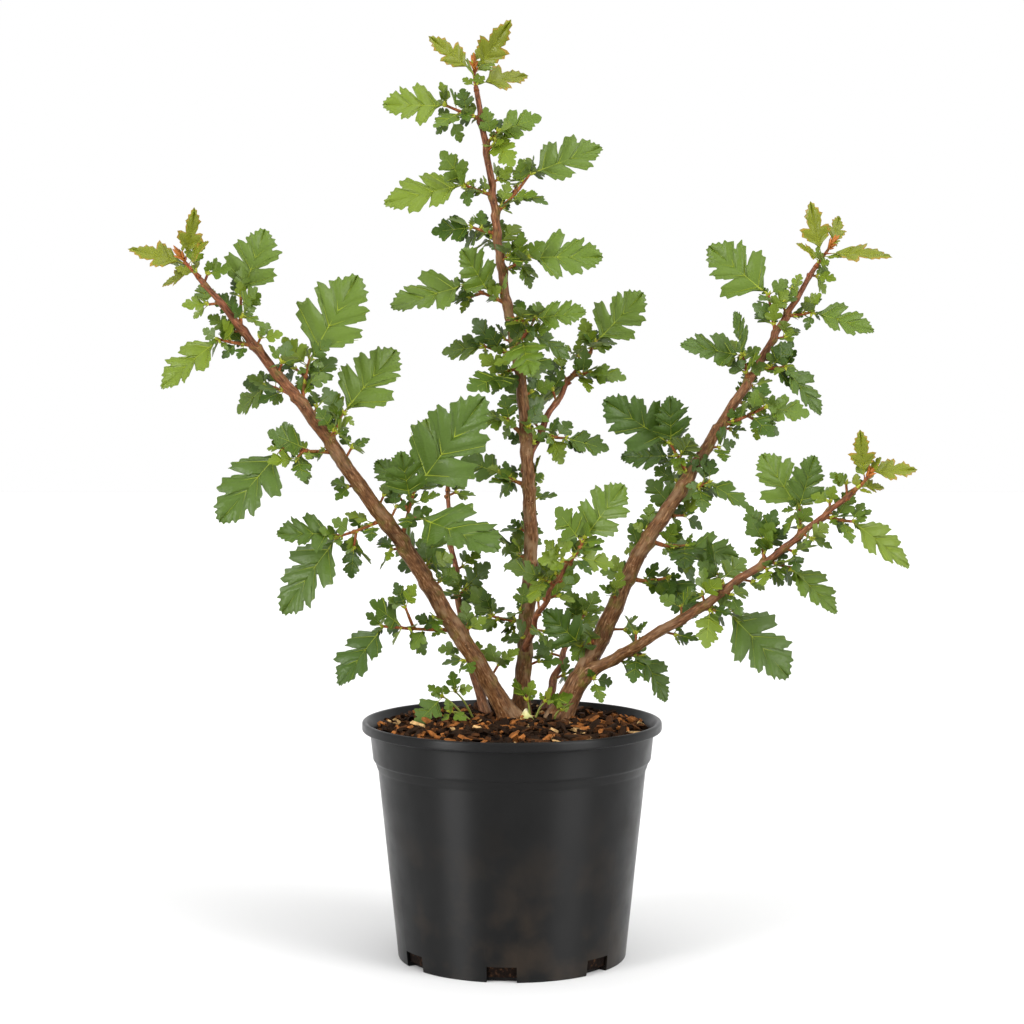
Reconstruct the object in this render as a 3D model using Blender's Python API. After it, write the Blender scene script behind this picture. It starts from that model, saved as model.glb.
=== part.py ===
"""A young hawthorn with several stems, growing in a filled three-litre nursery pot.

Metres, +Z up. The origin is the centre of the pot's flat underside, and the plant is seen as planned from
the -Y side. The sizes below are millimetres and degrees, and are turned into metres where a mesh is made.
A bearing is read in the XZ plane: 0 points right along +X and 90 points up. A lean tips a direction towards
the front (-Y) where it is positive and towards the back where it is negative.
"""
import math
import random

import bmesh
import bpy
import numpy as np
from mathutils.bvhtree import BVHTree

MM = 0.001
GAP = 0.3          # clearance between neighbouring pieces
SEED = 41

# The pot
RIM_RADIUS = 96.0
POT_HEIGHT = 152.0
LIP_HEIGHT = 6.0
WALL = 1.6
FLOOR = 2.4
COLLAR_TOP_RADIUS = 91.0
COLLAR_FOOT_RADIUS = 89.0
COLLAR_FOOT_Z = 127.5
BODY_TOP_RADIUS = 86.0
BODY_TOP_Z = 122.0
BASE_RADIUS = 73.2
BASE_ROUND = 3.0
POT_STEPS = 40
NOTCH_COUNT = 7
NOTCH_WIDTH = 18.6
NOTCH_HEIGHT = 10.0
NOTCH_DEPTH = 6.0
FIRST_NOTCH = -95.0

# The bark mulch that fills the pot
MOUND_Z = 151.0
MOUND_RADIUS = 56.0
MULCH_EDGE_Z = 145.5
GROUND = MOUND_Z + GAP

# Limbs
LIMB_SIDES = 8
TWIG_SIDES = 5
LEAF_SIDES = 4      # points in one section of a leaf
FLARE_REACH = 12.0  # height in which the root flare dies out
WANDER = 0.9        # how far a limb strays from its smooth bow
WANDER_WAVES = (3.3, 2.6)
SEAT_LIFTS = (GAP, 0.4, 0.5, 0.6, 0.75, 0.9)    # clearances tried under a bough or twig

# Leaves, as shares of the blade's length: place on the midrib, place on the edge, half width
LARGE_LEAF = ((0.04, 0.01, 0.17), (0.15, 0.23, 0.40), (0.25, 0.27, 0.18), (0.42, 0.58, 0.39),
              (0.56, 0.58, 0.18), (0.70, 0.80, 0.20))
MEDIUM_LEAF = ((0.05, 0.02, 0.16), (0.22, 0.36, 0.39), (0.38, 0.40, 0.19), (0.60, 0.74, 0.31))
SMALL_LEAF = ((0.34, 0.48, 0.38),)
LARGE_FROM = 38.0
MEDIUM_FROM = 25.0
NECK = 0.18         # share of a leaf that is its own stalk, where it leaves the side of a twig
LEAF_STALK = 0.65   # half thickness of a leaf's stalk
THICKNESS = 0.022
FOLD = 0.16         # how far the edges lift above the midrib
DROOP = 0.08        # how far the tip curls back
RISE = 0.10         # how far a leaf starts out above its bearing
TWIG_RADIUS = 1.35
SIDE_TWIG_RADIUS = 1.1
TWIG_TAPER = 0.85   # thickness at a twig's end, as a share of that at its foot
TWIG_END = 1.8      # bud that a twig runs on past its last leaf
FAN = (0, 26, -26, 38, -38, 10)     # leans dealt out to the leaves of one twig
LEAD_TURNS = (0, 12, -12, 24, -24, 36, -36)     # tried in order where a leaf would touch
COMPANION_TURNS = (0, 20, -20)
BACK_LEAN = -45     # leaves that lean further back face away from the front
BACK_FACING = 0.6
FRONT_FACING = -0.85
GOLDEN_TURN = 137.5
COMPANION_SPREAD = 62.0
COMPANION_LENGTH = (13, 21)
COMPANION_PLACES = (0.35, 0.85)     # the stretch of a twig that companions stand on
FORK_FROM = 20.0    # a twig this long has a side twig
FORK_SHARE = 0.4    # length of the side twig, as a share of its twig

# Stems stand in the mulch: foot (x, y), tip (x, y, z), bow (x, z), sway, root flare, foot and tip radius
# without the flare, and how the taper is held back (1 is an even taper).
STEMS = {
    "left_stem": ((-1, 6), (-190, -75, 433), (6.5, 4.5), 0.0, 2.8, 6.2, 1.6, 2.0),
    "centre_stem": ((5, 25), (-23, 14, 556), (14, 0), 2.5, 2.6, 5.8, 1.8, 1.2),
    "right_stem": ((30, 10), (202, 62, 446), (-1, 2), 0.0, 2.2, 7.6, 1.6, 1.0),
    "back_left_stem": ((-17, 34), (-44, 105, 296), (-5, -2), 0.0, 1.4, 3.2, 1.5, 1.0),
    "back_right_stem": ((21, 38), (42, 95, 203), (0, 0), 0.0, 1.4, 3.2, 1.7, 1.0),
}
# Boughs leave a stem: stem, place along it, tip (x, y, z), bow (x, z), foot and tip radius.
BOUGHS = {
    "low_right_bough": ("right_stem", 0.09, (207, -82, 304), (4, -5), 4.4, 1.6),
    "centre_side_bough": ("centre_stem", 0.39, (52, 58, 388), (-4, 2), 3.0, 1.3),
    "centre_low_bough": ("centre_stem", 0.10, (37, -55, 260), (-3, 1.5), 2.5, 1.2),
}

# Masses of foliage: place along the limb, length of the twig, its bearing and lean, and its lead leaves as
# (place along the twig, bearing, length). A place of 1 along the limb is a mass that ends the limb.
SPURS = {
    "left_stem": (
        (0.20, 40, 175, 15, ((1.0, -125, 47), (0.7, 140, 32), (0.6, -60, 22))),
        (0.31, 20, 120, -60, ((1.0, 140, 42), (0.6, 60, 30))),
        (0.40, 26, 75, 10, ((1.0, 55, 74), (0.4, -15, 72), (0.9, 140, 34), (0.7, 100, 44))),
        (0.45, 25, -160, 5, ((1.0, -125, 60), (0.9, 175, 43), (0.6, -90, 28))),
        (0.60, 28, 175, 15, ((1.0, -125, 60), (0.4, 160, 32), (0.6, -80, 23))),
        (0.62, 16, 70, -20, ((1.0, 45, 56), (0.6, 110, 24))),
        (0.71, 23, 80, -10, ((1.0, 60, 62), (0.8, 135, 24), (0.3, 40, 31))),
        (0.73, 13, 160, -20, ((1.0, -140, 30),)),
        (0.84, 17, 170, 10, ((1.0, -135, 46), (0.6, 105, 18))),
        (0.88, 15, 90, -10, ((1.0, 70, 46), (0.3, 40, 18))),
        (1.00, 14, 130, 0, ((0.5, 170, 38), (0.7, 75, 34), (0.2, -150, 26), (0.5, 35, 28))),
    ),
    "centre_stem": (
        (0.19, 10, 50, 35, ((1.0, 0, 28), (0.9, 55, 32))),
        (0.25, 18, 150, -60, ((1.0, 150, 42), (0.6, 60, 30))),
        (0.48, 16, 40, -60, ((1.0, 20, 42), (0.6, 120, 30))),
        (0.58, 17, 165, -15, ((1.0, -165, 30), (0.6, 130, 24))),
        (0.59, 19, 55, 20, ((1.0, 0, 34), (1.0, 55, 36), (0.5, -35, 34), (0.2, -80, 46))),
        (0.66, 25, 155, 15, ((1.0, -155, 52), (0.3, 130, 42))),
        (0.71, 15, 30, 10, ((1.0, -5, 49), (0.5, 75, 22), (0.7, -65, 20))),
        (0.74, 14, 110, -60, ((1.0, 130, 38), (0.5, 40, 26))),
        (0.80, 31, 50, -10, ((1.0, 20, 52), (0.5, -20, 24), (0.8, 75, 22))),
        (0.83, 16, 160, 10, ((1.0, -165, 53), (0.9, 130, 30))),
        (0.91, 8, 45, 10, ((1.0, 10, 30), (0.5, -65, 30))),
        (0.95, 21, 160, 10, ((1.0, -175, 41), (0.5, -150, 25))),
        (1.00, 14, 95, 0, ((0.6, 145, 38), (0.6, 50, 42), (0.1, 15, 40))),
    ),
    "right_stem": (
        (0.17, 9, -165, 35, ((1.0, 140, 39), (1.0, 90, 44), (0.7, 180, 46))),
        (0.37, 15, 0, 20, ((1.0, -10, 36), (1.0, -100, 34), (0.5, -60, 30))),
        (0.42, 20, 60, -60, ((1.0, 50, 42), (0.6, 130, 30))),
        (0.49, 9, 20, 15, ((1.0, -35, 32), (0.3, -85, 22))),
        (0.51, 24, 120, 15, ((1.0, 150, 54), (1.0, 95, 37), (0.6, -175, 38), (0.5, 60, 36))),
        (0.63, 25, 25, 15, ((1.0, -15, 30), (0.6, -50, 26), (0.7, 60, 22))),
        (0.73, 14, 105, 15, ((1.0, 175, 43), (1.0, 105, 35))),
        (0.76, 15, 5, 5, ((1.0, -50, 40), (0.4, 45, 24))),
        (0.84, 22, 100, -10, ((1.0, 145, 53), (0.5, 50, 18))),
        (0.88, 14, 10, 10, ((1.0, -25, 43), (0.5, 50, 20))),
        (1.00, 16, 55, 5, ((0.3, 105, 38), (0.5, 0, 46), (1.0, 65, 26), (0.1, 145, 26))),
    ),
    "low_right_bough": (
        (0.14, 7, 0, 5, ((1.0, -60, 34), (0.6, -100, 22))),
        (0.42, 13, -5, 10, ((1.0, -50, 57), (0.2, -95, 28))),
        (0.52, 14, 110, -60, ((1.0, 110, 38), (0.5, 30, 26))),
        (0.66, 10, 92, 0, ((1.0, 120, 24), (1.0, 75, 22))),
        (0.67, 12, -15, 15, ((1.0, -45, 40),)),
        (0.79, 14, 90, -15, ((1.0, 125, 42), (1.0, 75, 36))),
        (0.88, 15, -10, 5, ((1.0, -35, 45),)),
        (1.00, 13, 50, 0, ((1.0, 0, 29), (0.6, 105, 32), (0.2, -5, 20))),
    ),
    "centre_side_bough": (
        (0.30, 13, -10, 5, ((1.0, -20, 30), (0.4, -70, 22))),
        (0.78, 9, 15, 15, ((1.0, -10, 26), (0.5, -65, 18))),
        (1.00, 6, 65, 0, ((1.0, 40, 47), (0.5, 110, 22))),
    ),
    "centre_low_bough": (
        (1.00, 14, 60, 10, ((1.0, 55, 42), (0.8, 125, 32), (0.1, -15, 28))),
    ),
    "back_left_stem": (
        (0.50, 10, 60, 30, ((1.0, 45, 26), (0.8, -50, 24), (0.6, 130, 22))),
        (1.00, 14, 105, -20, ((1.0, 115, 40), (1.0, 70, 44), (0.5, 15, 34), (0.5, -165, 24))),
    ),
    "back_right_stem": (
        (1.00, 10, 40, -20, ((1.0, 60, 20), (1.0, 125, 20), (0.5, -25, 22))),
    ),
}

POT_BLACK = (0.045, 0.046, 0.048)
MULCH_BROWN = (0.16, 0.085, 0.05)
BARK_BROWN = (0.27, 0.15, 0.11)
LEAF_GREEN = (0.10, 0.20, 0.07)


def unit(vector):
    """The vector at length one."""
    vector = np.asarray(vector, float)
    return vector / np.linalg.norm(vector)


def heading(bearing, lean):
    """Direction with a bearing in the XZ plane, tipped to the front by its lean."""
    turn, tip = math.radians(bearing), math.radians(lean)
    return np.array([math.cos(turn) * math.cos(tip), -math.sin(tip), math.sin(turn) * math.cos(tip)])


def material(name, colour, roughness):
    """A plain finish with one colour."""
    finish = bpy.data.materials.new(name)
    finish.use_nodes = True
    shader = finish.node_tree.nodes["Principled BSDF"]
    shader.inputs["Base Color"].default_value = (*colour, 1.0)
    shader.inputs["Roughness"].default_value = roughness
    finish.diffuse_color = (*colour, 1.0)
    return finish


def add_solid(name, points, faces, finish):
    """An object from points in millimetres, linked to the scene."""
    mesh = bpy.data.meshes.new(name)
    mesh.from_pydata((np.asarray(points) * MM).tolist(), [], faces)
    mesh.materials.append(finish)
    solid = bpy.data.objects.new(name, mesh)
    bpy.context.collection.objects.link(solid)
    return solid


def apply_boolean(solid, operation, **operand):
    """Runs one Boolean on the solid and keeps its result as the solid's own mesh."""
    cut = solid.modifiers.new(operation.title(), "BOOLEAN")
    cut.operation = operation
    cut.solver = "EXACT"
    for field, value in operand.items():
        setattr(cut, field, value)
    graph = bpy.context.evaluated_depsgraph_get()
    result = bpy.data.meshes.new_from_object(solid.evaluated_get(graph))
    solid.modifiers.clear()
    solid.data = result


def remove_object(solid):
    """Takes an object and its mesh out of the file."""
    mesh = solid.data
    bpy.data.objects.remove(solid)
    bpy.data.meshes.remove(mesh)


def turned(name, profile, finish):
    """Spins a profile of (radius, height) points round Z; it starts and ends on the axis."""
    form = bmesh.new()
    points = [form.verts.new((radius * MM, 0, height * MM)) for radius, height in profile]
    edges = [form.edges.new(pair) for pair in zip(points, points[1:])]
    bmesh.ops.spin(form, geom=points + edges, cent=(0, 0, 0), axis=(0, 0, 1), angle=math.tau,
                   steps=POT_STEPS, use_merge=True)
    bmesh.ops.remove_doubles(form, verts=form.verts, dist=GAP * MM / 10)
    bmesh.ops.recalc_face_normals(form, faces=form.faces)
    mesh = bpy.data.meshes.new(name)
    form.to_mesh(mesh)
    form.free()
    mesh.materials.append(finish)
    mesh.shade_smooth()
    mesh.set_sharp_from_angle(angle=math.radians(30))
    solid = bpy.data.objects.new(name, mesh)
    bpy.context.collection.objects.link(solid)
    return solid


def outer_wall():
    """The pot's outside from the foot of its lip down to its rounded base, as (radius, height)."""
    corner = [
        (BASE_RADIUS - BASE_ROUND * (1 - math.cos(turn)), BASE_ROUND * (1 - math.sin(turn)))
        for turn in np.radians((0, 45, 90))
    ]
    return [
        (COLLAR_TOP_RADIUS, POT_HEIGHT - LIP_HEIGHT - 0.6),
        (COLLAR_FOOT_RADIUS, COLLAR_FOOT_Z),
        (BODY_TOP_RADIUS, BODY_TOP_Z),
        *corner,
    ]


def inner_wall(inset):
    """The outside carried inwards, from just under the rim down to the floor."""
    walls = [(radius - inset, height) for radius, height in outer_wall()[:3]]
    return [*walls, (BASE_RADIUS - inset + 0.2, FLOOR + inset - WALL)]


def make_pot(finish):
    """The turned pot, with its drain notches cut through the foot of the wall."""
    lip = [
        (RIM_RADIUS - 3.4, POT_HEIGHT - 0.8),
        (RIM_RADIUS - 2.6, POT_HEIGHT),
        (RIM_RADIUS - 0.9, POT_HEIGHT),
        (RIM_RADIUS, POT_HEIGHT - 0.9),
        (RIM_RADIUS, POT_HEIGHT - LIP_HEIGHT + 0.6),
        (RIM_RADIUS - 0.8, POT_HEIGHT - LIP_HEIGHT),
    ]
    profile = [(0, FLOOR), *reversed(inner_wall(WALL)), *lip, *outer_wall(), (0, 0)]
    pot = turned("pot", profile, finish)
    for k in range(NOTCH_COUNT):
        turn = math.radians(FIRST_NOTCH + k * 360 / NOTCH_COUNT)
        bpy.ops.mesh.primitive_cube_add(size=MM)
        notch = bpy.context.object
        notch.scale = (2 * NOTCH_DEPTH, NOTCH_WIDTH, 2 * NOTCH_HEIGHT)
        notch.rotation_euler.z = turn
        notch.location = (BASE_RADIUS * MM * math.cos(turn), BASE_RADIUS * MM * math.sin(turn), 0)
        bpy.context.view_layer.update()
        apply_boolean(pot, "DIFFERENCE", object=notch)
        remove_object(notch)
    return pot


def make_mulch(finish):
    """The filling: it follows the pot's inside and rises to a low flat mound round the stems."""
    wall = inner_wall(WALL + 2 * GAP)
    edge = (wall[0][0], MULCH_EDGE_Z)
    profile = [(0, MOUND_Z), (MOUND_RADIUS, MOUND_Z), edge, *wall[1:], (0, wall[-1][1])]
    return turned("mulch", profile, finish)


def loft(rings, foot=None, tip=None):
    """Triangles over rings of points, closed at each end by a fan, or by a fan to a point of its own."""
    count = len(rings[0])
    points = np.concatenate(rings)
    last = len(points) - count
    faces = []
    for low in range(0, last, count):
        for i in range(count):
            here, after = low + i, low + (i + 1) % count
            faces += [(here, after, after + count), (here, after + count, here + count)]
    if foot is None:
        faces += [(0, i + 1, i) for i in range(1, count - 1)]
    else:
        points = np.vstack([points, foot])
        faces += [((i + 1) % count, i, len(points) - 1) for i in range(count)]
    if tip is None:
        faces += [(last, last + i, last + i + 1) for i in range(1, count - 1)]
    else:
        points = np.vstack([points, tip])
        faces += [(last + i, last + (i + 1) % count, len(points) - 1) for i in range(count)]
    return points, faces


def tree_of(points, faces):
    """A search tree for a mesh, for finding what touches it."""
    return BVHTree.FromPolygons(points.tolist(), faces)


def ring_offsets(direction, radius, sides):
    """Offsets of a round ring across a direction."""
    across = unit(np.cross((0, 1, 0), direction))
    beyond = np.cross(direction, across)
    turns = np.arange(sides) * math.tau / sides
    return radius * (np.outer(np.cos(turns), across) + np.outer(np.sin(turns), beyond))


class Limb:
    """A tapering limb: a straight line from foot to tip with one bow, one sway and a slight wander."""

    def __init__(self, foot, tip, bow, sway, flare, foot_radius, tip_radius, hold, index):
        self.foot = np.array(foot, float)
        self.tip = np.array(tip, float)
        self.bow = np.array([bow[0], 0, bow[1]], float)
        self.sway, self.flare = sway, flare
        self.foot_radius, self.tip_radius, self.hold = foot_radius, tip_radius, hold
        self.index = index
        self.length = float(np.linalg.norm(self.tip - self.foot))
        self.tree = None

    def axis(self, t):
        """The centreline at a share t of its length."""
        swell = 4 * t * (1 - t)
        stray = np.array([
            math.sin(math.tau * (WANDER_WAVES[0] * t + 0.37 * self.index)),
            math.sin(math.tau * (WANDER_WAVES[1] * t + 0.61 * self.index)),
            0,
        ])
        side = np.array([self.sway * math.sin(math.tau * t), 0, 0])
        return self.foot + (self.tip - self.foot) * t + self.bow * swell + side + WANDER * swell * stray

    def course(self, t):
        """The centreline's direction at t."""
        step = 0.01
        return unit(self.axis(min(t + step, 1)) - self.axis(max(t - step, 0)))

    def radius(self, t):
        """Half the thickness at t: a taper that is held back at first, plus the root flare."""
        taper = self.tip_radius + (self.foot_radius - self.tip_radius) * (1 - t ** self.hold)
        return taper + self.flare * math.exp(-t * self.length / FLARE_REACH)


def seats(parent, place, direction, radius, sides):
    """Rings with their middles that follow the parent's surface, each a little further off it."""
    start = parent.axis(place)
    offsets = np.vstack([ring_offsets(direction, radius, sides), np.zeros(3)])
    slope = math.sqrt(max(1 - float(np.dot(direction, parent.course(place))) ** 2, 0.04))
    for lift in SEAT_LIFTS:
        points = []
        for offset in offsets:
            hit = parent.tree.ray_cast((start + offset).tolist(), direction.tolist())
            reach = hit[3] if hit[3] is not None else parent.radius(place)
            points.append(start + offset + direction * (reach + lift / slope))
        yield np.array(points[:-1]), points[-1]


def stem_solid(limb):
    """A stem from its flat cut at the ground to its tip."""
    stations = [0, 0.035, 0.09, *np.linspace(0.18, 1, 9)]
    rings = [limb.axis(t) + ring_offsets(limb.course(t), limb.radius(t), LIMB_SIDES) for t in stations]
    course = limb.course(0)
    rings[0] = rings[0] - np.outer((rings[0][:, 2] - GROUND) / course[2], course)
    return loft(rings)


def bough_solid(limb, parent, place):
    """A bough from its seat on the parent to its tip."""
    direction = limb.course(0.1)
    for ring, middle in seats(parent, place, direction, limb.radius(0), LIMB_SIDES):
        start = float(np.max((ring - limb.foot) @ direction)) / limb.length
        stations = np.linspace(start + 0.06, 1, 8)
        rings = [limb.axis(t) + ring_offsets(limb.course(t), limb.radius(t), LIMB_SIDES) for t in stations]
        points, faces = loft([ring, *rings], foot=middle)
        if not tree_of(points, faces).overlap(parent.tree):
            break
    return points, faces


def make_limbs(finish):
    """All stems, then all boughs, each as one solid."""
    limbs = {}
    for name, (foot, tip, bow, sway, flare, thick, thin, hold) in STEMS.items():
        limb = Limb((*foot, GROUND), tip, bow, sway, flare, thick, thin, hold, len(limbs))
        limbs[name] = limb
        points, faces = stem_solid(limb)
        limb.tree = tree_of(points, faces)
        add_solid(name, points, faces, finish)
    for name, (stem, place, tip, bow, thick, thin) in BOUGHS.items():
        parent = limbs[stem]
        limb = Limb(parent.axis(place), tip, bow, 0, 0, thick, thin, 1, len(limbs))
        limbs[name] = limb
        points, faces = bough_solid(limb, parent, place)
        limb.tree = tree_of(points, faces)
        add_solid(name, points, faces, finish)
    return limbs


def leaf_solid(root, along, show, length, neck):
    """A leaf of diamond sections, from its stalk's root through its lobes to its tip.

    Each ring has the right edge, the upper midrib, the left edge and the lower midrib. Edges lift towards
    the facing side with the half width, and the whole blade curls back with the square of the distance.
    """
    side = unit(np.cross(show, along))
    over = np.cross(along, side)
    stalk = LEAF_STALK / length
    grade = LARGE_LEAF if length >= LARGE_FROM else MEDIUM_LEAF if length >= MEDIUM_FROM else SMALL_LEAF
    blade = 1 - neck
    sections = [(0, 0, stalk, stalk)]
    if neck and grade is not SMALL_LEAF:
        sections.append((neck, neck, stalk, stalk))
    sections += [
        (neck + blade * rib, neck + blade * edge, blade * half, THICKNESS / 2) for rib, edge, half in grade
    ]
    rings = []
    for rib, edge, half, deep in sections:
        middle = along * rib - over * DROOP * rib ** 2
        rim = along * edge + over * (FOLD * half - DROOP * edge ** 2)
        rings.append(np.array([rim + side * half, middle + over * deep, rim - side * half, middle - over * deep]))
    points, faces = loft(rings, tip=along - over * DROOP)
    return root + length * points, faces


def facing(along, lean, stray):
    """The side that a leaf shows: to the front and up, or to the back and up behind the plant."""
    depth = BACK_FACING if lean < BACK_LEAN else FRONT_FACING
    return unit((0.5 * along[0] + stray, depth, 0.6 + stray / 2))


class Mass:
    """A mass of foliage: one twig on its limb, the leaves that stand on it, and the space they take."""

    def __init__(self, name, limb, spur, seed, crown):
        self.name = name
        self.limb = limb
        self.place, self.span, self.bearing, self.lean, self.leads = spur
        self.rng = random.Random(seed)
        self.crown = crown
        self.pieces = []
        self.trees = []
        self.blades = []

    def is_free(self, tree, blade=None):
        """True where a piece meets no limb or other mass, and its blade no other blade of this mass."""
        if any(tree.overlap(limb.tree) for limb in self.crown.limbs):
            return False
        others = (other.trees for other in self.crown.masses if other is not self)
        if any(tree.overlap(other) for trees in others for other in trees):
            return False
        return blade is None or not any(blade.overlap(other) for other in self.blades)

    def keep(self, points, faces, tree):
        """Adds a piece to the mass."""
        self.pieces.append((points, faces))
        self.trees.append(tree)

    def add_twig(self, ring, middle, end, radius):
        """A tapering twig from a ring to a bud just past its end, skipped where it would touch."""
        direction = unit(end - middle)
        far_ring = end + TWIG_TAPER * ring_offsets(direction, radius, TWIG_SIDES)
        points, faces = loft([ring, far_ring], foot=middle, tip=end + direction * TWIG_END)
        tree = tree_of(points, faces)
        if self.is_free(tree):
            self.keep(points, faces, tree)
            return True
        return False

    def add_leaf(self, root, bearing, lean, length, turns, neck=NECK):
        """A leaf, turned by small steps until it is free, or skipped."""
        bearing += self.rng.uniform(-5, 5)
        stray = self.rng.uniform(-0.4, 0.4)
        for turn in turns:
            along = unit(heading(bearing, lean + turn) + np.array([0, 0, RISE]))
            points, faces = leaf_solid(root, along, facing(along, lean, stray), length, neck)
            tree = tree_of(points, faces)
            blade = tree_of(points, [face for face in faces if min(face) >= LEAF_SIDES])
            if points[:, 2].min() > GROUND + GAP and self.is_free(tree, blade):
                self.keep(points, faces, tree)
                self.blades.append(blade)
                return

    def grow_twig(self):
        """Seats the mass's own twig on the limb, or on its end."""
        direction = heading(self.bearing, self.lean)
        if self.place == 1:
            course = self.limb.course(1)
            middle = self.limb.axis(1) + course * GAP
            starts = [(middle + ring_offsets(course, TWIG_RADIUS, TWIG_SIDES), middle)]
        else:
            starts = seats(self.limb, self.place, direction, TWIG_RADIUS, TWIG_SIDES)
        for ring, middle in starts:
            self.start, self.end = middle, middle + direction * self.span
            if self.add_twig(ring, middle, self.end, TWIG_RADIUS):
                return
        raise ValueError(self.name + " has no room for its twig")

    def grow_leads(self):
        """The lead leaves, whose leans fan out from the twig's."""
        for (place, bearing, length), fan in zip(self.leads, FAN):
            root = self.start + (self.end - self.start) * place
            self.add_leaf(root, bearing, self.lean + fan, length, LEAD_TURNS, NECK if place < 1 else 0)

    def grow_companions(self):
        """Small leaves set round the twig by the golden turn, one of them on a side twig if it is long."""
        along = unit(self.end - self.start)
        across = unit(np.cross((0, 1, 0), along))
        beyond = np.cross(along, across)
        spread = math.radians(COMPANION_SPREAD)
        first = self.rng.uniform(0, 360)
        low, high = COMPANION_PLACES
        count = 2 if self.span < FORK_FROM else 3
        for k in range(count):
            turn = math.radians(first + GOLDEN_TURN * k)
            around = across * math.cos(turn) + beyond * math.sin(turn)
            out = along * math.cos(spread) + around * math.sin(spread)
            root = self.start + (self.end - self.start) * (low + (high - low) * k / count)
            length = self.rng.uniform(*COMPANION_LENGTH)
            if count > 2 and k == 1:
                fork = root + out * self.span * FORK_SHARE
                ring = root + ring_offsets(out, SIDE_TWIG_RADIUS, TWIG_SIDES)
                if self.add_twig(ring, root, fork, SIDE_TWIG_RADIUS):
                    root = fork
            bearing = math.degrees(math.atan2(out[2], out[0]))
            lean = math.degrees(math.asin(-out[1]))
            self.add_leaf(root, bearing, lean, length, COMPANION_TURNS)

    def fuse(self, finish):
        """Joins the pieces into one body."""
        parts = [add_solid(self.name, points, faces, finish) for points, faces in self.pieces]
        group = bpy.data.collections.new(self.name + " leaves")
        bpy.context.scene.collection.children.link(group)
        for part in parts[1:]:
            bpy.context.collection.objects.unlink(part)
            group.objects.link(part)
        apply_boolean(parts[0], "UNION", operand_type="COLLECTION", collection=group)
        for part in parts[1:]:
            remove_object(part)
        bpy.data.collections.remove(group)


class Crown:
    """All the limbs and masses, grown in rounds so that twigs come before leaves and leads before the rest."""

    def __init__(self, limbs, finish):
        self.limbs = list(limbs.values())
        self.masses = []
        for limb_name, spurs in SPURS.items():
            plain = limb_name.replace("_stem", "").replace("_bough", "")
            for k, spur in enumerate(spurs, start=1):
                seed = SEED + len(self.masses)
                self.masses.append(Mass(f"{plain}_leaves_{k:02d}", limbs[limb_name], spur, seed, self))
        for grow in (Mass.grow_twig, Mass.grow_leads, Mass.grow_companions):
            for mass in self.masses:
                grow(mass)
        for mass in self.masses:
            mass.fuse(finish)


def main():
    """Clears the scene and builds every piece."""
    for old in list(bpy.data.objects):
        bpy.data.objects.remove(old)
    make_pot(material("pot plastic", POT_BLACK, 0.5))
    make_mulch(material("bark mulch", MULCH_BROWN, 0.9))
    limbs = make_limbs(material("bark", BARK_BROWN, 0.75))
    Crown(limbs, material("foliage", LEAF_GREEN, 0.55))


main()
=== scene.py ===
"""The looks of a young hawthorn in a nursery pot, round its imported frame.

Sizes are millimetres and degrees until a mesh is made. A bearing is read in the XZ plane, where 0 points
along +X and 90 points up. A lean tips a direction to the front (-Y) where it is positive.
"""
import math
import random

import bpy
import numpy as np
from mathutils.bvhtree import BVHTree
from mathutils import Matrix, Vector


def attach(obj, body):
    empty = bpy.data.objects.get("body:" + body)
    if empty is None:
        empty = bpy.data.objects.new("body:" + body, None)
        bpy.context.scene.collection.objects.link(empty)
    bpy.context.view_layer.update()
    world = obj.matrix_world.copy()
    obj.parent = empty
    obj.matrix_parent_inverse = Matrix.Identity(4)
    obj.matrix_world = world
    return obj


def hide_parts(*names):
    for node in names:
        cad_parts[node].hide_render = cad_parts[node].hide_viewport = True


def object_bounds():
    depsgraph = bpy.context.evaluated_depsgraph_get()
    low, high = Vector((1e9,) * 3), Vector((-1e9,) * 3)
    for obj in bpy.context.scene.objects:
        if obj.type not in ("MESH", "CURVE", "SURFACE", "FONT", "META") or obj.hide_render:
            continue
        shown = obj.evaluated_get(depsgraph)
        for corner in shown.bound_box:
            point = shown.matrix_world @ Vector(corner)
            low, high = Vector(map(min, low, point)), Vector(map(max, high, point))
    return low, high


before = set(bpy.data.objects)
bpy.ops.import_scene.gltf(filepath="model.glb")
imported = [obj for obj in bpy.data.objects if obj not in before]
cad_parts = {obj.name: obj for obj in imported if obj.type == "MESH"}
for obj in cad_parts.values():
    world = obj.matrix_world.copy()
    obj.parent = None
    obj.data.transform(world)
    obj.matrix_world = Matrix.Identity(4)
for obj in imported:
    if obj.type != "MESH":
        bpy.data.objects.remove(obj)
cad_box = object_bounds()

MM = 0.001
GAP = 0.3
SEED = 41           # the first mass's seed, as in the source
FINE_SEED = 907     # seed of what only the looks have

# The pot
RIM_RADIUS = 96.0
POT_HEIGHT = 152.0
LIP_HEIGHT = 6.0
WALL = 1.6
FLOOR = 2.4
COLLAR_TOP_RADIUS = 91.0
COLLAR_FOOT_RADIUS = 89.0
COLLAR_FOOT_Z = 127.5
BODY_TOP_RADIUS = 86.0
BODY_TOP_Z = 122.0
BASE_RADIUS = 73.2
POT_COLUMNS = 192
NOTCH_COUNT = 7
NOTCH_WIDTH = 18.6
NOTCH_HEIGHT = 10.0
NOTCH_DEPTH = 6.0
FIRST_NOTCH = -95.0

# The bark mulch
MOUND_Z = 151.0
MOUND_RADIUS = 56.0
MULCH_EDGE_Z = 145.5
GROUND = MOUND_Z + GAP
CHIP_COUNT = 1250
CHIP_LENGTH = (4.0, 19.0)

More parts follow.
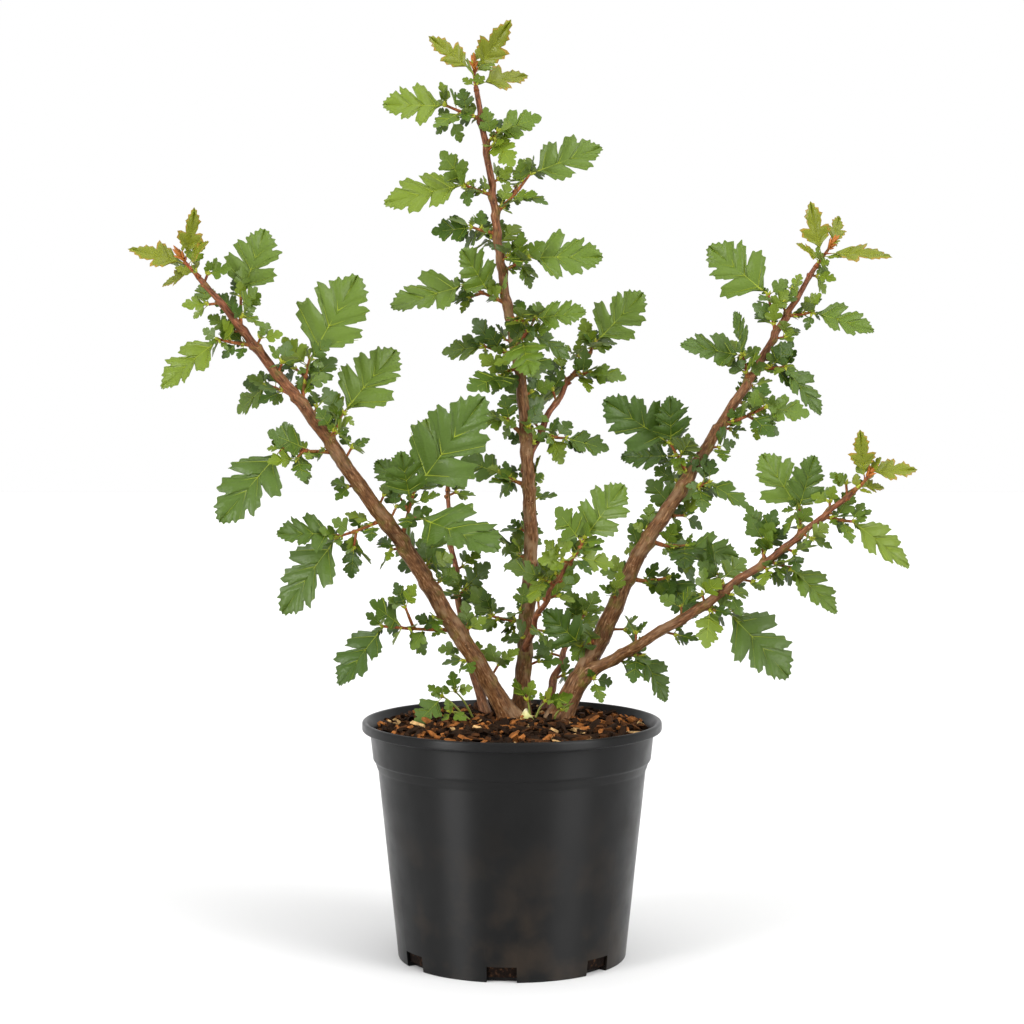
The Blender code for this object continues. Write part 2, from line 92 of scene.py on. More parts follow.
# Limbs, twigs and leaves, by the source's rule
FLARE_REACH = 12.0
WANDER = 0.9
WANDER_WAVES = (3.3, 2.6)
NECK = 0.18
FOLD = 0.16
DROOP = 0.08
RISE = 0.10
TWIG_RADIUS = 1.35
SIDE_TWIG_RADIUS = 1.1
TWIG_TAPER = 0.85
FAN = (0, 26, -26, 38, -38, 10)
LEAD_TURNS = (0, 12, -12, 24, -24, 36, -36)
COMPANION_TURNS = (0, 20, -20)
BACK_LEAN = -45
BACK_FACING = 0.6
FRONT_FACING = -0.85
GOLDEN_TURN = 137.5
COMPANION_SPREAD = 62.0
COMPANION_LENGTH = (13, 21)
COMPANION_PLACES = (0.35, 0.85)
FORK_FROM = 20.0
FORK_SHARE = 0.4

# What the looks add
SLIM = 0.90                 # the bark's thickness as a share of the frame's
ZIGZAG = 0.45               # how far a limb's centreline turns aside from node to node
NODE_STEP = 17.0            # distance between the leaf nodes of a limb
NODE_CLEAR = 6.0            # nearer than this to a twig's foot, a node points to the other side
LARGE_TUFT = (12.0, 20.0)   # the first leaves of a tuft
SMALL_TUFT = (6.5, 12.0)    # the others
# Where a limb of the photograph swings clear of the frame's line: place, reach, and the way in X and Z
SWINGS = {"right_stem": (0.37, 0.19, -4.0, 3.0), "centre_stem": (0.45, 0.14, 2.5, 0.0)}
TIP_REACH = 2.4             # how near a leaf's tip lies to the same leaf of the frame
LARGE_FROM = 34.0
MEDIUM_FROM = 18.0

STEMS = {
    "left_stem": ((-1, 6), (-190, -75, 433), (6.5, 4.5), 0.0, 2.8, 6.2, 1.6, 2.0),
    "centre_stem": ((5, 25), (-23, 14, 556), (14, 0), 2.5, 2.6, 5.8, 1.8, 1.2),
    "right_stem": ((30, 10), (202, 62, 446), (-1, 2), 0.0, 2.2, 7.6, 1.6, 1.0),
    "back_left_stem": ((-17, 34), (-44, 105, 296), (-5, -2), 0.0, 1.4, 3.2, 1.5, 1.0),
    "back_right_stem": ((21, 38), (42, 95, 203), (0, 0), 0.0, 1.4, 3.2, 1.7, 1.0),
}
BOUGHS = {
    "low_right_bough": ("right_stem", 0.09, (207, -82, 304), (4, -5), 4.4, 1.6),
    "centre_side_bough": ("centre_stem", 0.39, (52, 58, 388), (-4, 2), 3.0, 1.3),
    "centre_low_bough": ("centre_stem", 0.10, (37, -55, 260), (-3, 1.5), 2.5, 1.2),
}
SPURS = {
    "left_stem": (
        (0.20, 40, 175, 15, ((1.0, -125, 47), (0.7, 140, 32), (0.6, -60, 22))),
        (0.31, 20, 120, -60, ((1.0, 140, 42), (0.6, 60, 30))),
        (0.40, 26, 75, 10, ((1.0, 55, 74), (0.4, -15, 72), (0.9, 140, 34), (0.7, 100, 44))),
        (0.45, 25, -160, 5, ((1.0, -125, 60), (0.9, 175, 43), (0.6, -90, 28))),
        (0.60, 28, 175, 15, ((1.0, -125, 60), (0.4, 160, 32), (0.6, -80, 23))),
        (0.62, 16, 70, -20, ((1.0, 45, 56), (0.6, 110, 24))),
        (0.71, 23, 80, -10, ((1.0, 60, 62), (0.8, 135, 24), (0.3, 40, 31))),
        (0.73, 13, 160, -20, ((1.0, -140, 30),)),
        (0.84, 17, 170, 10, ((1.0, -135, 46), (0.6, 105, 18))),
        (0.88, 15, 90, -10, ((1.0, 70, 46), (0.3, 40, 18))),
        (1.00, 14, 130, 0, ((0.5, 170, 38), (0.7, 75, 34), (0.2, -150, 26), (0.5, 35, 28))),
    ),
    "centre_stem": (
        (0.19, 10, 50, 35, ((1.0, 0, 28), (0.9, 55, 32))),
        (0.25, 18, 150, -60, ((1.0, 150, 42), (0.6, 60, 30))),
        (0.48, 16, 40, -60, ((1.0, 20, 42), (0.6, 120, 30))),
        (0.58, 17, 165, -15, ((1.0, -165, 30), (0.6, 130, 24))),
        (0.59, 19, 55, 20, ((1.0, 0, 34), (1.0, 55, 36), (0.5, -35, 34), (0.2, -80, 46))),
        (0.66, 25, 155, 15, ((1.0, -155, 52), (0.3, 130, 42))),
        (0.71, 15, 30, 10, ((1.0, -5, 49), (0.5, 75, 22), (0.7, -65, 20))),
        (0.74, 14, 110, -60, ((1.0, 130, 38), (0.5, 40, 26))),
        (0.80, 31, 50, -10, ((1.0, 20, 52), (0.5, -20, 24), (0.8, 75, 22))),
        (0.83, 16, 160, 10, ((1.0, -165, 53), (0.9, 130, 30))),
        (0.91, 8, 45, 10, ((1.0, 10, 30), (0.5, -65, 30))),
        (0.95, 21, 160, 10, ((1.0, -175, 41), (0.5, -150, 25))),
        (1.00, 14, 95, 0, ((0.6, 145, 38), (0.6, 50, 42), (0.1, 15, 40))),
    ),
    "right_stem": (
        (0.17, 9, -165, 35, ((1.0, 140, 39), (1.0, 90, 44), (0.7, 180, 46))),
        (0.37, 15, 0, 20, ((1.0, -10, 36), (1.0, -100, 34), (0.5, -60, 30))),
        (0.42, 20, 60, -60, ((1.0, 50, 42), (0.6, 130, 30))),
        (0.49, 9, 20, 15, ((1.0, -35, 32), (0.3, -85, 22))),
        (0.51, 24, 120, 15, ((1.0, 150, 54), (1.0, 95, 37), (0.6, -175, 38), (0.5, 60, 36))),
        (0.63, 25, 25, 15, ((1.0, -15, 30), (0.6, -50, 26), (0.7, 60, 22))),
        (0.73, 14, 105, 15, ((1.0, 175, 43), (1.0, 105, 35))),
        (0.76, 15, 5, 5, ((1.0, -50, 40), (0.4, 45, 24))),
        (0.84, 22, 100, -10, ((1.0, 145, 53), (0.5, 50, 18))),
        (0.88, 14, 10, 10, ((1.0, -25, 43), (0.5, 50, 20))),
        (1.00, 16, 55, 5, ((0.3, 105, 38), (0.5, 0, 46), (1.0, 65, 26), (0.1, 145, 26))),
    ),
    "low_right_bough": (
        (0.14, 7, 0, 5, ((1.0, -60, 34), (0.6, -100, 22))),
        (0.42, 13, -5, 10, ((1.0, -50, 57), (0.2, -95, 28))),
        (0.52, 14, 110, -60, ((1.0, 110, 38), (0.5, 30, 26))),
        (0.66, 10, 92, 0, ((1.0, 120, 24), (1.0, 75, 22))),
        (0.67, 12, -15, 15, ((1.0, -45, 40),)),
        (0.79, 14, 90, -15, ((1.0, 125, 42), (1.0, 75, 36))),
        (0.88, 15, -10, 5, ((1.0, -35, 45),)),
        (1.00, 13, 50, 0, ((1.0, 0, 29), (0.6, 105, 32), (0.2, -5, 20))),
    ),
    "centre_side_bough": (
        (0.30, 13, -10, 5, ((1.0, -20, 30), (0.4, -70, 22))),
        (0.78, 9, 15, 15, ((1.0, -10, 26), (0.5, -65, 18))),
        (1.00, 6, 65, 0, ((1.0, 40, 47), (0.5, 110, 22))),
    ),
    "centre_low_bough": (
        (1.00, 14, 60, 10, ((1.0, 55, 42), (0.8, 125, 32), (0.1, -15, 28))),
    ),
    "back_left_stem": (
        (0.50, 10, 60, 30, ((1.0, 45, 26), (0.8, -50, 24), (0.6, 130, 22))),
        (1.00, 14, 105, -20, ((1.0, 115, 40), (1.0, 70, 44), (0.5, 15, 34), (0.5, -165, 24))),
    ),
    "back_right_stem": (
        (1.00, 10, 40, -20, ((1.0, 60, 20), (1.0, 125, 20), (0.5, -25, 22))),
    ),
}
# Short twigs that only the looks have: limb, place, length, bearing, lean and leaves
FINE_SPURS = (
    ("centre_stem", 0.15, 17, 170, -5, ((1.0, 135, 24), (0.8, -145, 14))),
    ("centre_stem", 0.37, 13, 155, -15, ((1.0, 165, 30), (0.6, 110, 20), (0.4, -130, 22))),
    ("centre_stem", 0.45, 8, 130, 5, ((1.0, -170, 22), (0.6, 105, 20), (0.5, -110, 13))),
    ("centre_stem", 0.77, 13, 165, 0, ((1.0, -170, 27), (0.6, 90, 13))),
    ("centre_stem", 0.56, 11, -150, 42, ((1.0, -155, 30), (0.7, -100, 26), (0.4, 150, 22))),
    ("centre_stem", 0.60, 15, -70, 55, ((1.0, -85, 34), (0.8, -140, 27), (0.7, -30, 28))),
    ("centre_stem", 0.64, 12, -20, 48, ((1.0, -15, 28), (0.6, 60, 24), (0.5, -70, 24))),
    ("centre_low_bough", 0.72, 8, 150, 20, ((1.0, 165, 26), (0.7, -125, 23), (0.5, 80, 22))),
    ("right_stem", 0.29, 18, 10, 30, ((1.0, -55, 34), (0.6, -90, 24))),
)

# Green shoots out of the mulch: foot, tip, and leaves of bearing, lean, length and tone
SHOOTS = (
    ((12, 4), (10, 1, 164), ((125, 20, 18, "green"), (75, 10, 14, "fresh"))),
    ((14, 3), (21, 0, 163), ((15, 15, 19, "green"), (70, 20, 12, "lime"))),
    ((-28, 0), (-44, -9, 168), ((222, 25, 26, "dark"), (140, 20, 13, "green"))),
    ((-24, 8), (-36, -2, 170), ((100, 20, 15, "dark"), (170, 15, 13, "green"), (20, 20, 12, "fresh"))),
    ((-25, 0), (-38, -14, 159), ((-30, 30, 12, "green"), (220, 10, 10, "fresh"))),
    ((26, 0), (31, -2, 158), ((40, 20, 11, "fresh"), (110, 25, 9, "lime"))),
)
KNOB_PLACE = (9.0, 4.0)     # the pale swollen foot between the stems
KNOB_RADIUS = 5.0
KNOB_HEIGHT = 7.5

# The edge of half a blade from its stalk to its tip: each corner's place along and out, and the place on the
# midrib that it belongs to, in shares of the blade's length. Then the side veins: each one's foot on the
# midrib, and its tip along and out.
LEAF_FORMS = {
    "large": ((
        (0.00, 0.012, 0.00), (0.08, 0.09, 0.02), (0.15, 0.18, 0.035), (0.175, 0.285, 0.05),
        (0.245, 0.275, 0.06), (0.26, 0.385, 0.075), (0.335, 0.35, 0.085), (0.375, 0.435, 0.095),
        (0.415, 0.35, 0.13), (0.475, 0.365, 0.16), (0.44, 0.25, 0.21), (0.385, 0.10, 0.26),
        (0.46, 0.155, 0.28), (0.495, 0.255, 0.30), (0.565, 0.245, 0.315), (0.59, 0.345, 0.33),
        (0.655, 0.29, 0.345), (0.715, 0.34, 0.37), (0.72, 0.245, 0.41), (0.69, 0.18, 0.46),
        (0.75, 0.18, 0.49), (0.785, 0.25, 0.52), (0.83, 0.18, 0.55), (0.89, 0.195, 0.58),
        (0.87, 0.12, 0.64), (0.925, 0.135, 0.70), (0.935, 0.08, 0.78), (0.99, 0.07, 0.86),
        (0.975, 0.03, 0.93), (1.00, 0.00, 1.00),
    ), ((0.09, 0.37, 0.41), (0.33, 0.68, 0.33), (0.53, 0.86, 0.20))),
    "young": ((
        (0.00, 0.014, 0.00), (0.11, 0.13, 0.03), (0.21, 0.28, 0.06), (0.28, 0.265, 0.08),
        (0.33, 0.36, 0.10), (0.40, 0.32, 0.12), (0.47, 0.375, 0.15), (0.49, 0.28, 0.21),
        (0.455, 0.14, 0.30), (0.57, 0.20, 0.36), (0.63, 0.18, 0.40), (0.70, 0.24, 0.45),
        (0.74, 0.16, 0.52), (0.82, 0.165, 0.60), (0.84, 0.09, 0.68), (0.93, 0.09, 0.78),
        (0.95, 0.04, 0.88), (1.00, 0.00, 1.00),
    ), ((0.12, 0.42, 0.33), (0.42, 0.70, 0.22))),
    "medium": ((
        (0.00, 0.014, 0.00), (0.11, 0.15, 0.02), (0.16, 0.285, 0.04), (0.235, 0.29, 0.06),
        (0.265, 0.385, 0.08), (0.345, 0.415, 0.10), (0.395, 0.35, 0.14), (0.475, 0.345, 0.18),
        (0.475, 0.25, 0.23), (0.415, 0.115, 0.29), (0.53, 0.245, 0.33), (0.60, 0.255, 0.36),
        (0.64, 0.325, 0.38), (0.72, 0.315, 0.42), (0.745, 0.22, 0.48), (0.82, 0.22, 0.54),
        (0.80, 0.12, 0.61), (0.89, 0.15, 0.70), (0.96, 0.09, 0.83), (1.00, 0.00, 1.00),
    ), ((0.10, 0.33, 0.39), (0.40, 0.71, 0.31))),
    "small": ((
        (0.00, 0.016, 0.00), (0.13, 0.19, 0.03), (0.17, 0.33, 0.06), (0.28, 0.41, 0.10),
        (0.43, 0.445, 0.16), (0.53, 0.34, 0.25), (0.49, 0.155, 0.37), (0.62, 0.285, 0.46),
        (0.77, 0.285, 0.57), (0.825, 0.16, 0.69), (0.94, 0.12, 0.85), (1.00, 0.00, 1.00),
    ), ((0.16, 0.40, 0.40),)),
}
LEAF_ROWS = {"large": (0.5, 0.86, 1.0), "young": (0.5, 0.86, 1.0), "medium": (1.0,), "small": (1.0,)}
FORM_COUNT = 9          # different outlines of each form
BELLY = 0.024           # how far the blade swells up between two veins
BELLY_REACH = 0.06      # how far from a vein's foot it is full, as a share of the blade
VEIN_SINK = -0.4        # how deep the veins lie, as a share of the belly
BLADE_THICKNESS = 0.30
VEIN_LIFT = 0.26

# The studio: windows of light as azimuth from the camera's side, half width, strength, and the sine of the
# height that they reach
WINDOWS = ((-50.0, 15.0, 14.0, 0.65), (54.0, 20.0, 7.0, 0.92))
AIR_STRENGTH = 1.0
OVERHEAD_FROM = 0.80
OVERHEAD_STRENGTH = 1.2
KEY_STRENGTH = 0.35
KEY_SPREAD = 40.0
FLOOR_WHITE = 0.64

# Colours, as linear red, green and blue
POT_BLACK = (0.0030, 0.0030, 0.0030)
SOIL_BROWN = (0.010, 0.005, 0.003)
CHIP_COLOURS = {
    "dark": (0.015, 0.007, 0.003),
    "brown": (0.050, 0.019, 0.006),
    "orange": (0.21, 0.076, 0.019),
    "cream": (0.42, 0.26, 0.11),
}
CHIP_SHARES = {"dark": 0.50, "brown": 0.27, "orange": 0.19, "cream": 0.04}
LEAF_COLOURS = {
    "deep": (0.036, 0.070, 0.006),
    "dark": (0.050, 0.089, 0.008),
    "green": (0.072, 0.117, 0.009),
    "fresh": (0.105, 0.152, 0.009),
    "lime": (0.122, 0.142, 0.005),
}
BRONZE = (0.30, 0.13, 0.022)
STALK_RED = (0.20, 0.050, 0.020)
STALK_GREEN = (0.22, 0.22, 0.022)

def unit(vector):
    """The vector at length one; an array of vectors gives each at length one."""
    vector = np.asarray(vector, float)
    return vector / np.linalg.norm(vector, axis=-1, keepdims=True)


def heading(bearing, lean):
    """Direction with a bearing in the XZ plane, tipped to the front by its lean."""
    turn, tip = math.radians(bearing), math.radians(lean)
    return np.array([math.cos(turn) * math.cos(tip), -math.sin(tip), math.sin(turn) * math.cos(tip)])


# Meshes

def grid_faces(rows, columns, closed):
    """Four-cornered faces between neighbouring rows and columns of a grid; closed joins the last column to
    the first."""
    across = columns if closed else columns - 1
    low = (np.arange(rows - 1)[:, None] * columns + np.arange(across)).ravel()
    after = (np.arange(rows - 1)[:, None] * columns + (np.arange(across) + 1) % columns).ravel()
    return np.stack([low, after, after + columns, low + columns], axis=1)


def corners_in_order(faces):
    """Turns faces that have two equal neighbouring corners so that the equal ones come last."""
    faces = faces.copy()
    for k in (0, 1, 3):
        double = (faces[:, k] == faces[:, (k + 1) % 4]) & (faces[:, 2] != faces[:, 3])
        faces[double] = np.roll(faces[double], 2 - k, axis=1)
    return faces


def make_piece(name, points, faces, finishes, slot, replaced=(), kinds=None, attributes=None, sharp=None):
    """A piece from points in millimetres and faces of four corners, where an equal third and fourth corner
    is a triangle. kinds gives each face's finish, and attributes a number or a vector for each point."""
    faces = corners_in_order(np.asarray(faces))
    used = np.ones(faces.shape, bool)
    used[:, 3] = faces[:, 2] != faces[:, 3]
    counts = used.sum(axis=1)
    mesh = bpy.data.meshes.new(name)
    mesh.vertices.add(len(points))
    mesh.vertices.foreach_set("co", (np.asarray(points) * MM).astype(np.float32).ravel())
    mesh.loops.add(int(counts.sum()))
    mesh.loops.foreach_set("vertex_index", faces[used].astype(np.int32))
    mesh.polygons.add(len(faces))
    mesh.polygons.foreach_set("loop_start", (np.cumsum(counts) - counts).astype(np.int32))
    for finish in finishes:
        mesh.materials.append(finish)
    if kinds is not None:
        mesh.polygons.foreach_set("material_index", np.asarray(kinds, np.int32))
    mesh.update(calc_edges=True)
    mesh.validate()
    for title, values in (attributes or {}).items():
        values = np.asarray(values, np.float32)
        field = mesh.attributes.new(title, "FLOAT_VECTOR" if values.ndim == 2 else "FLOAT", "POINT")
        field.data.foreach_set("vector" if values.ndim == 2 else "value", values.ravel())
    mesh.shade_smooth()
    if sharp:
        mesh.set_sharp_from_angle(angle=math.radians(sharp))
    piece = bpy.data.objects.new(name, mesh)
    bpy.context.scene.collection.objects.link(piece)
    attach(piece, "root")
    if replaced:
        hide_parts(*replaced)
    return piece


class Bundle:
    """Shapes of one kind, gathered to be joined into one piece."""

    def __init__(self):
        self.points, self.faces, self.kinds, self.count = [], [], [], 0

    def add(self, points, faces, kind=0):
        """Adds a shape whose faces count from its own first point."""
        self.points.append(points)
        self.faces.append(faces + self.count)
        self.kinds.append(np.broadcast_to(kind, len(faces)))
        self.count += len(points)

    def add_copies(self, points, faces, kind=0):
        """Adds many shapes with the same faces: points holds one row of points for each, and kind is one
        finish or the finish of each face."""
        copies, size = points.shape[:2]
        shifted = faces[None] + (np.arange(copies) * size)[:, None, None]
        self.add(points.reshape(-1, 3), shifted.reshape(-1, 4),
                 np.tile(np.broadcast_to(kind, len(faces)), copies))

    def piece(self, name, finishes, slot, **options):
        """The gathered shapes as one piece."""
        return make_piece(name, np.concatenate(self.points), np.concatenate(self.faces), finishes, slot,
                          kinds=np.concatenate(self.kinds), **options)


def turned(profile, columns):
    """Spins a profile of (radius, height) points round Z: each point of the grid is radius times the cosine
    and sine of its angle. The first and last profile points lie on the axis."""
    profile = np.asarray(profile, float)
    angles = np.arange(columns) * math.tau / columns
    radius, height = profile[1:-1, 0][:, None], profile[1:-1, 1][:, None]
    rings = np.stack([radius * np.cos(angles), radius * np.sin(angles), height + 0 * angles], axis=2)
    points = np.vstack([rings.reshape(-1, 3), [0, 0, profile[0, 1]], [0, 0, profile[-1, 1]]])
    count = len(rings)
    faces = grid_faces(count, columns, True)
    here = np.arange(columns)
    after = (here + 1) % columns
    last = (count - 1) * columns
    first_pole, last_pole = np.full(columns, count * columns), np.full(columns, count * columns + 1)
    return points, np.vstack([
        faces,
        np.stack([after, here, first_pole, first_pole], axis=1),
        np.stack([last + here, last + after, last_pole, last_pole], axis=1),
    ])


def tube(path, radius, sides, turn=0.0):
    """A closed tube along a path: each ring is the path's point plus the radius times cosine and sine of an
    angle along two directions square to the path, and each end runs to a point."""
    path = np.asarray(path, float)
    course = unit(np.gradient(path, axis=0))
    mean = unit(path[-1] - path[0])
    spare = np.eye(3)[np.argmin(np.abs(mean))]
    across = unit(np.cross(spare, course))
    beyond = np.cross(course, across)
    angles = turn + np.arange(sides) * math.tau / sides
    offsets = np.cos(angles)[None, :, None] * across[:, None] + np.sin(angles)[None, :, None] * beyond[:, None]
    rings = path[:, None] + np.asarray(radius, float).reshape(-1, 1, 1) * offsets
    points = np.vstack([rings.reshape(-1, 3), path[0], path[-1] + course[-1] * np.ravel(radius)[-1] * 0.6])
    return points, capped(len(path), sides)


def capped(rows, sides):
    """Faces of a tube with a point of its own at each end, which come after its rings."""
    here = np.arange(sides)
    after = (here + 1) % sides
    foot, tip = np.full(sides, rows * sides), np.full(sides, rows * sides + 1)
    last = (rows - 1) * sides
    return np.vstack([
        grid_faces(rows, sides, True),
        np.stack([after, here, foot, foot], axis=1),
        np.stack([last + here, last + after, tip, tip], axis=1),
    ])


def waves(rng, first, second, count, along, around, size):
    """A sum of sine waves over two coordinates, with seeded directions and phases; around is a list of whole
    numbers where the second coordinate is an angle."""
    total = np.zeros(np.broadcast(first, second).shape)
    for _ in range(count):
        pace = rng.uniform(*along)
        turns = rng.choice(around) * rng.choice((-1, 1))
        total += np.sin(pace * first + turns * second + rng.uniform(0, math.tau))
    return total * size / math.sqrt(count)


# Finishes

class Finish:
    """A material put together from nodes that read the piece's own coordinates, or the vector that the
    mesh holds for its grain."""

    def __init__(self, name, colour=None, grain=None, **fixed):
        self.material = bpy.data.materials.new(name)
        self.material.use_nodes = True
        self.tree = self.material.node_tree
        self.shader = self.tree.nodes["Principled BSDF"]
        for socket, value in fixed.items():
            self.shader.inputs[socket.replace("_", " ")].default_value = value
        if colour:
            self.shader.inputs["Base Color"].default_value = (*colour, 1.0)
        if grain:
            node = self.tree.nodes.new("ShaderNodeAttribute")
            node.attribute_name = grain
            self.place = node.outputs["Vector"]
        else:
            self.place = self.tree.nodes.new("ShaderNodeTexCoord").outputs["Object"]

    def put(self, socket, source):
        """Leads a node's output into the shader."""
        self.tree.links.new(source, self.shader.inputs[socket])

    def noise(self, scale, detail=3.0, stretch=None):
        """Cloudy noise, with a number of features to the metre; stretch scales each axis."""
        node = self.tree.nodes.new("ShaderNodeTexNoise")
        node.inputs["Scale"].default_value = scale
        node.inputs["Detail"].default_value = detail
        source = self.place
        if stretch:
            mapping = self.tree.nodes.new("ShaderNodeMapping")
            mapping.inputs["Scale"].default_value = stretch
            self.tree.links.new(self.place, mapping.inputs["Vector"])
            source = mapping.outputs["Vector"]
        self.tree.links.new(source, node.inputs["Vector"])
        return node.outputs["Fac"]

    def cells(self, scale):
        """Distance to the nearest of many scattered points."""
        node = self.tree.nodes.new("ShaderNodeTexVoronoi")
        node.inputs["Scale"].default_value = scale
        self.tree.links.new(self.place, node.inputs["Vector"])
        return node.outputs["Distance"]

    def attribute(self, name):
        """A number that the mesh holds at each point."""
        node = self.tree.nodes.new("ShaderNodeAttribute")
        node.attribute_name = name
        return node.outputs["Fac"]

    def height(self):
        """The height above the pot's foot, in metres."""
        node = self.tree.nodes.new("ShaderNodeSeparateXYZ")
        self.tree.links.new(self.place, node.inputs[0])
        return node.outputs["Z"]

    def span(self, source, low, high, to_low=0.0, to_high=1.0):
        """Maps low..high of a number to to_low..to_high, and holds it there."""
        node = self.tree.nodes.new("ShaderNodeMapRange")
        self.tree.links.new(source, node.inputs["Value"])
        for socket, value in zip(("From Min", "From Max", "To Min", "To Max"), (low, high, to_low, to_high)):
            node.inputs[socket].default_value = value
        return node.outputs["Result"]

    def product(self, first, second):
        """Two numbers multiplied."""
        node = self.tree.nodes.new("ShaderNodeMath")
        node.operation = "MULTIPLY"
        self.tree.links.new(first, node.inputs[0])
        self.tree.links.new(second, node.inputs[1])
        return node.outputs[0]

    def ramp(self, source, *stops):
        """Colours along a number: each stop is a place and a colour."""
        node = self.tree.nodes.new("ShaderNodeValToRGB")
        band = node.color_ramp.elements
        while len(band) < len(stops):
            band.new(0.5)
        for element, (place, colour) in zip(band, stops):
            element.position = place
            element.color = (*colour, 1.0)
        self.tree.links.new(source, node.inputs["Fac"])
        return node.outputs["Color"]

    def mix(self, share, first, second):
        """The first colour, giving way to the second by a share; each is a node's output or a colour."""
        node = self.tree.nodes.new("ShaderNodeMix")
        node.data_type = "RGBA"
        self.tree.links.new(share, node.inputs["Factor"])
        for socket, colour in ((node.inputs[6], first), (node.inputs[7], second)):
            if isinstance(colour, tuple):
                socket.default_value = (*colour, 1.0)
            else:
                self.tree.links.new(colour, socket)
        return node.outputs[2]

    def bump(self, source, strength, depth):
        """Raises the surface by a number, depth in millimetres."""
        node = self.tree.nodes.new("ShaderNodeBump")
        node.inputs["Strength"].default_value = strength
        node.inputs["Distance"].default_value = depth * MM
        self.tree.links.new(source, node.inputs["Height"])
        self.put("Normal", node.outputs["Normal"])


def shade(colour, factor):
    """A colour made lighter or darker."""
    return tuple(min(c * factor, 1.0) for c in colour)


def pot_plastic():
    """Matt black plastic with a fine grain, faint scuffs and a little brown dust low down."""
    finish = Finish("pot plastic", IOR=1.29, Anisotropic=0.9, Anisotropic_Rotation=0.25)
    round_the_pot = finish.tree.nodes.new("ShaderNodeTangent")
    round_the_pot.direction_type = "RADIAL"
    round_the_pot.axis = "Z"
    finish.put("Tangent", round_the_pot.outputs["Tangent"])
    cloud = finish.noise(26, 4)
    grime = finish.product(finish.span(finish.height(), 0.0, 0.11, 0.5, 0.0),
                           finish.span(finish.noise(42, 6), 0.46, 0.66))
    base = finish.ramp(cloud, (0.3, shade(POT_BLACK, 0.8)), (0.7, shade(POT_BLACK, 1.35)))
    finish.put("Base Color", finish.mix(grime, base, (0.030, 0.020, 0.012)))
    finish.put("Roughness", finish.span(finish.noise(60, 5), 0.3, 0.7, 0.36, 0.48))
    finish.bump(finish.noise(2600, 2), 0.2, 0.04)
    return finish.material


def soil():
    """Dark crumbly potting mix."""
    finish = Finish("potting mix", Roughness=0.95, Specular_IOR_Level=0.1)
    finish.put("Base Color", finish.ramp(finish.noise(420, 5), (0.35, shade(SOIL_BROWN, 0.5)),
                                         (0.55, SOIL_BROWN), (0.72, (0.07, 0.032, 0.015))))
    finish.bump(finish.noise(700, 5), 0.8, 1.2)
    return finish.material


def chip_wood(name, colour):
    """Torn bark or wood with a streaky grain."""
    finish = Finish(name, Roughness=0.8, Specular_IOR_Level=0.08)
    finish.put("Base Color", finish.ramp(finish.noise(380, 5), (0.32, shade(colour, 0.5)),
                                         (0.5, colour), (0.7, shade(colour, 1.45))))
    finish.bump(finish.noise(1500, 4), 0.6, 0.25)
    return finish.material


def bark(name, old, young):
    """Smooth young bark, streaked along the limb with pale and dark lines: browner where it is old, redder
    where it is young, with pale worn patches and a green cast at the leaf nodes."""
    finish = Finish(name, grain="grain", Specular_IOR_Level=0.14)
    streak = finish.noise(1000, 7, (1.0, 1.0, 0.22))
    patch = finish.span(finish.noise(150, 5, (1.0, 1.0, 0.5)), 0.52, 0.68)
    aged = finish.ramp(streak, (0.34, shade(old, 0.42)), (0.47, shade(old, 0.88)), (0.57, shade(old, 1.2)),
                       (0.74, (0.29, 0.175, 0.09)))
    fresh = finish.ramp(streak, (0.34, shade(young, 0.38)), (0.50, young), (0.64, shade(young, 1.6)),
                        (0.75, (0.36, 0.20, 0.10)))
    wood = finish.mix(finish.span(finish.attribute("age"), 0.15, 0.6), fresh, aged)
    worn = finish.mix(finish.product(patch, finish.attribute("age")), wood, (0.19, 0.115, 0.060))
    green = finish.product(finish.attribute("node"), finish.span(finish.noise(260, 3), 0.42, 0.62, 0.0, 0.7))
    finish.put("Base Color", finish.mix(green, worn, (0.13, 0.12, 0.02)))
    finish.put("Roughness", finish.span(streak, 0.3, 0.7, 0.62, 0.44))
    finish.bump(streak, 0.4, 0.35)
    return finish.material


def leaf_green(name, colour, roughness):
    """A satin leaf surface with fine veins between the main ones."""
    finish = Finish(name, colour, Specular_IOR_Level=0.27)
    finish.put("Roughness", finish.span(finish.noise(240, 3), 0.3, 0.7, roughness - 0.07, roughness + 0.09))
    finish.bump(finish.cells(520), 0.5, 0.35)
    return finish.material


def stalk(name, colour, roughness=0.5):
    """A smooth stalk, vein or bud skin."""
    finish = Finish(name, colour, Specular_IOR_Level=0.3)
    finish.put("Roughness", finish.span(finish.noise(500, 2), 0.3, 0.7, roughness - 0.08, roughness + 0.08))
    finish.bump(finish.noise(1600, 2), 0.2, 0.1)
    return finish.material


# The pot and its filling

def rounded(profile, radius, steps=4):
    """The profile with each inner corner replaced by a short curve: the points of a quadratic curve from
    one side of the corner to the other, steered by the corner itself."""
    profile = [np.array(p, float) for p in profile]
    smooth = [profile[0]]
    for before, corner, after in zip(profile, profile[1:], profile[2:]):
        reach = [min(radius, 0.45 * np.linalg.norm(end - corner)) for end in (before, after)]
        start = corner + unit(before - corner) * reach[0]
        end = corner + unit(after - corner) * reach[1]
        for s in np.linspace(0, 1, steps):
            smooth.append((1 - s) ** 2 * start + 2 * s * (1 - s) * corner + s ** 2 * end)
    return np.array([*smooth, profile[-1]])


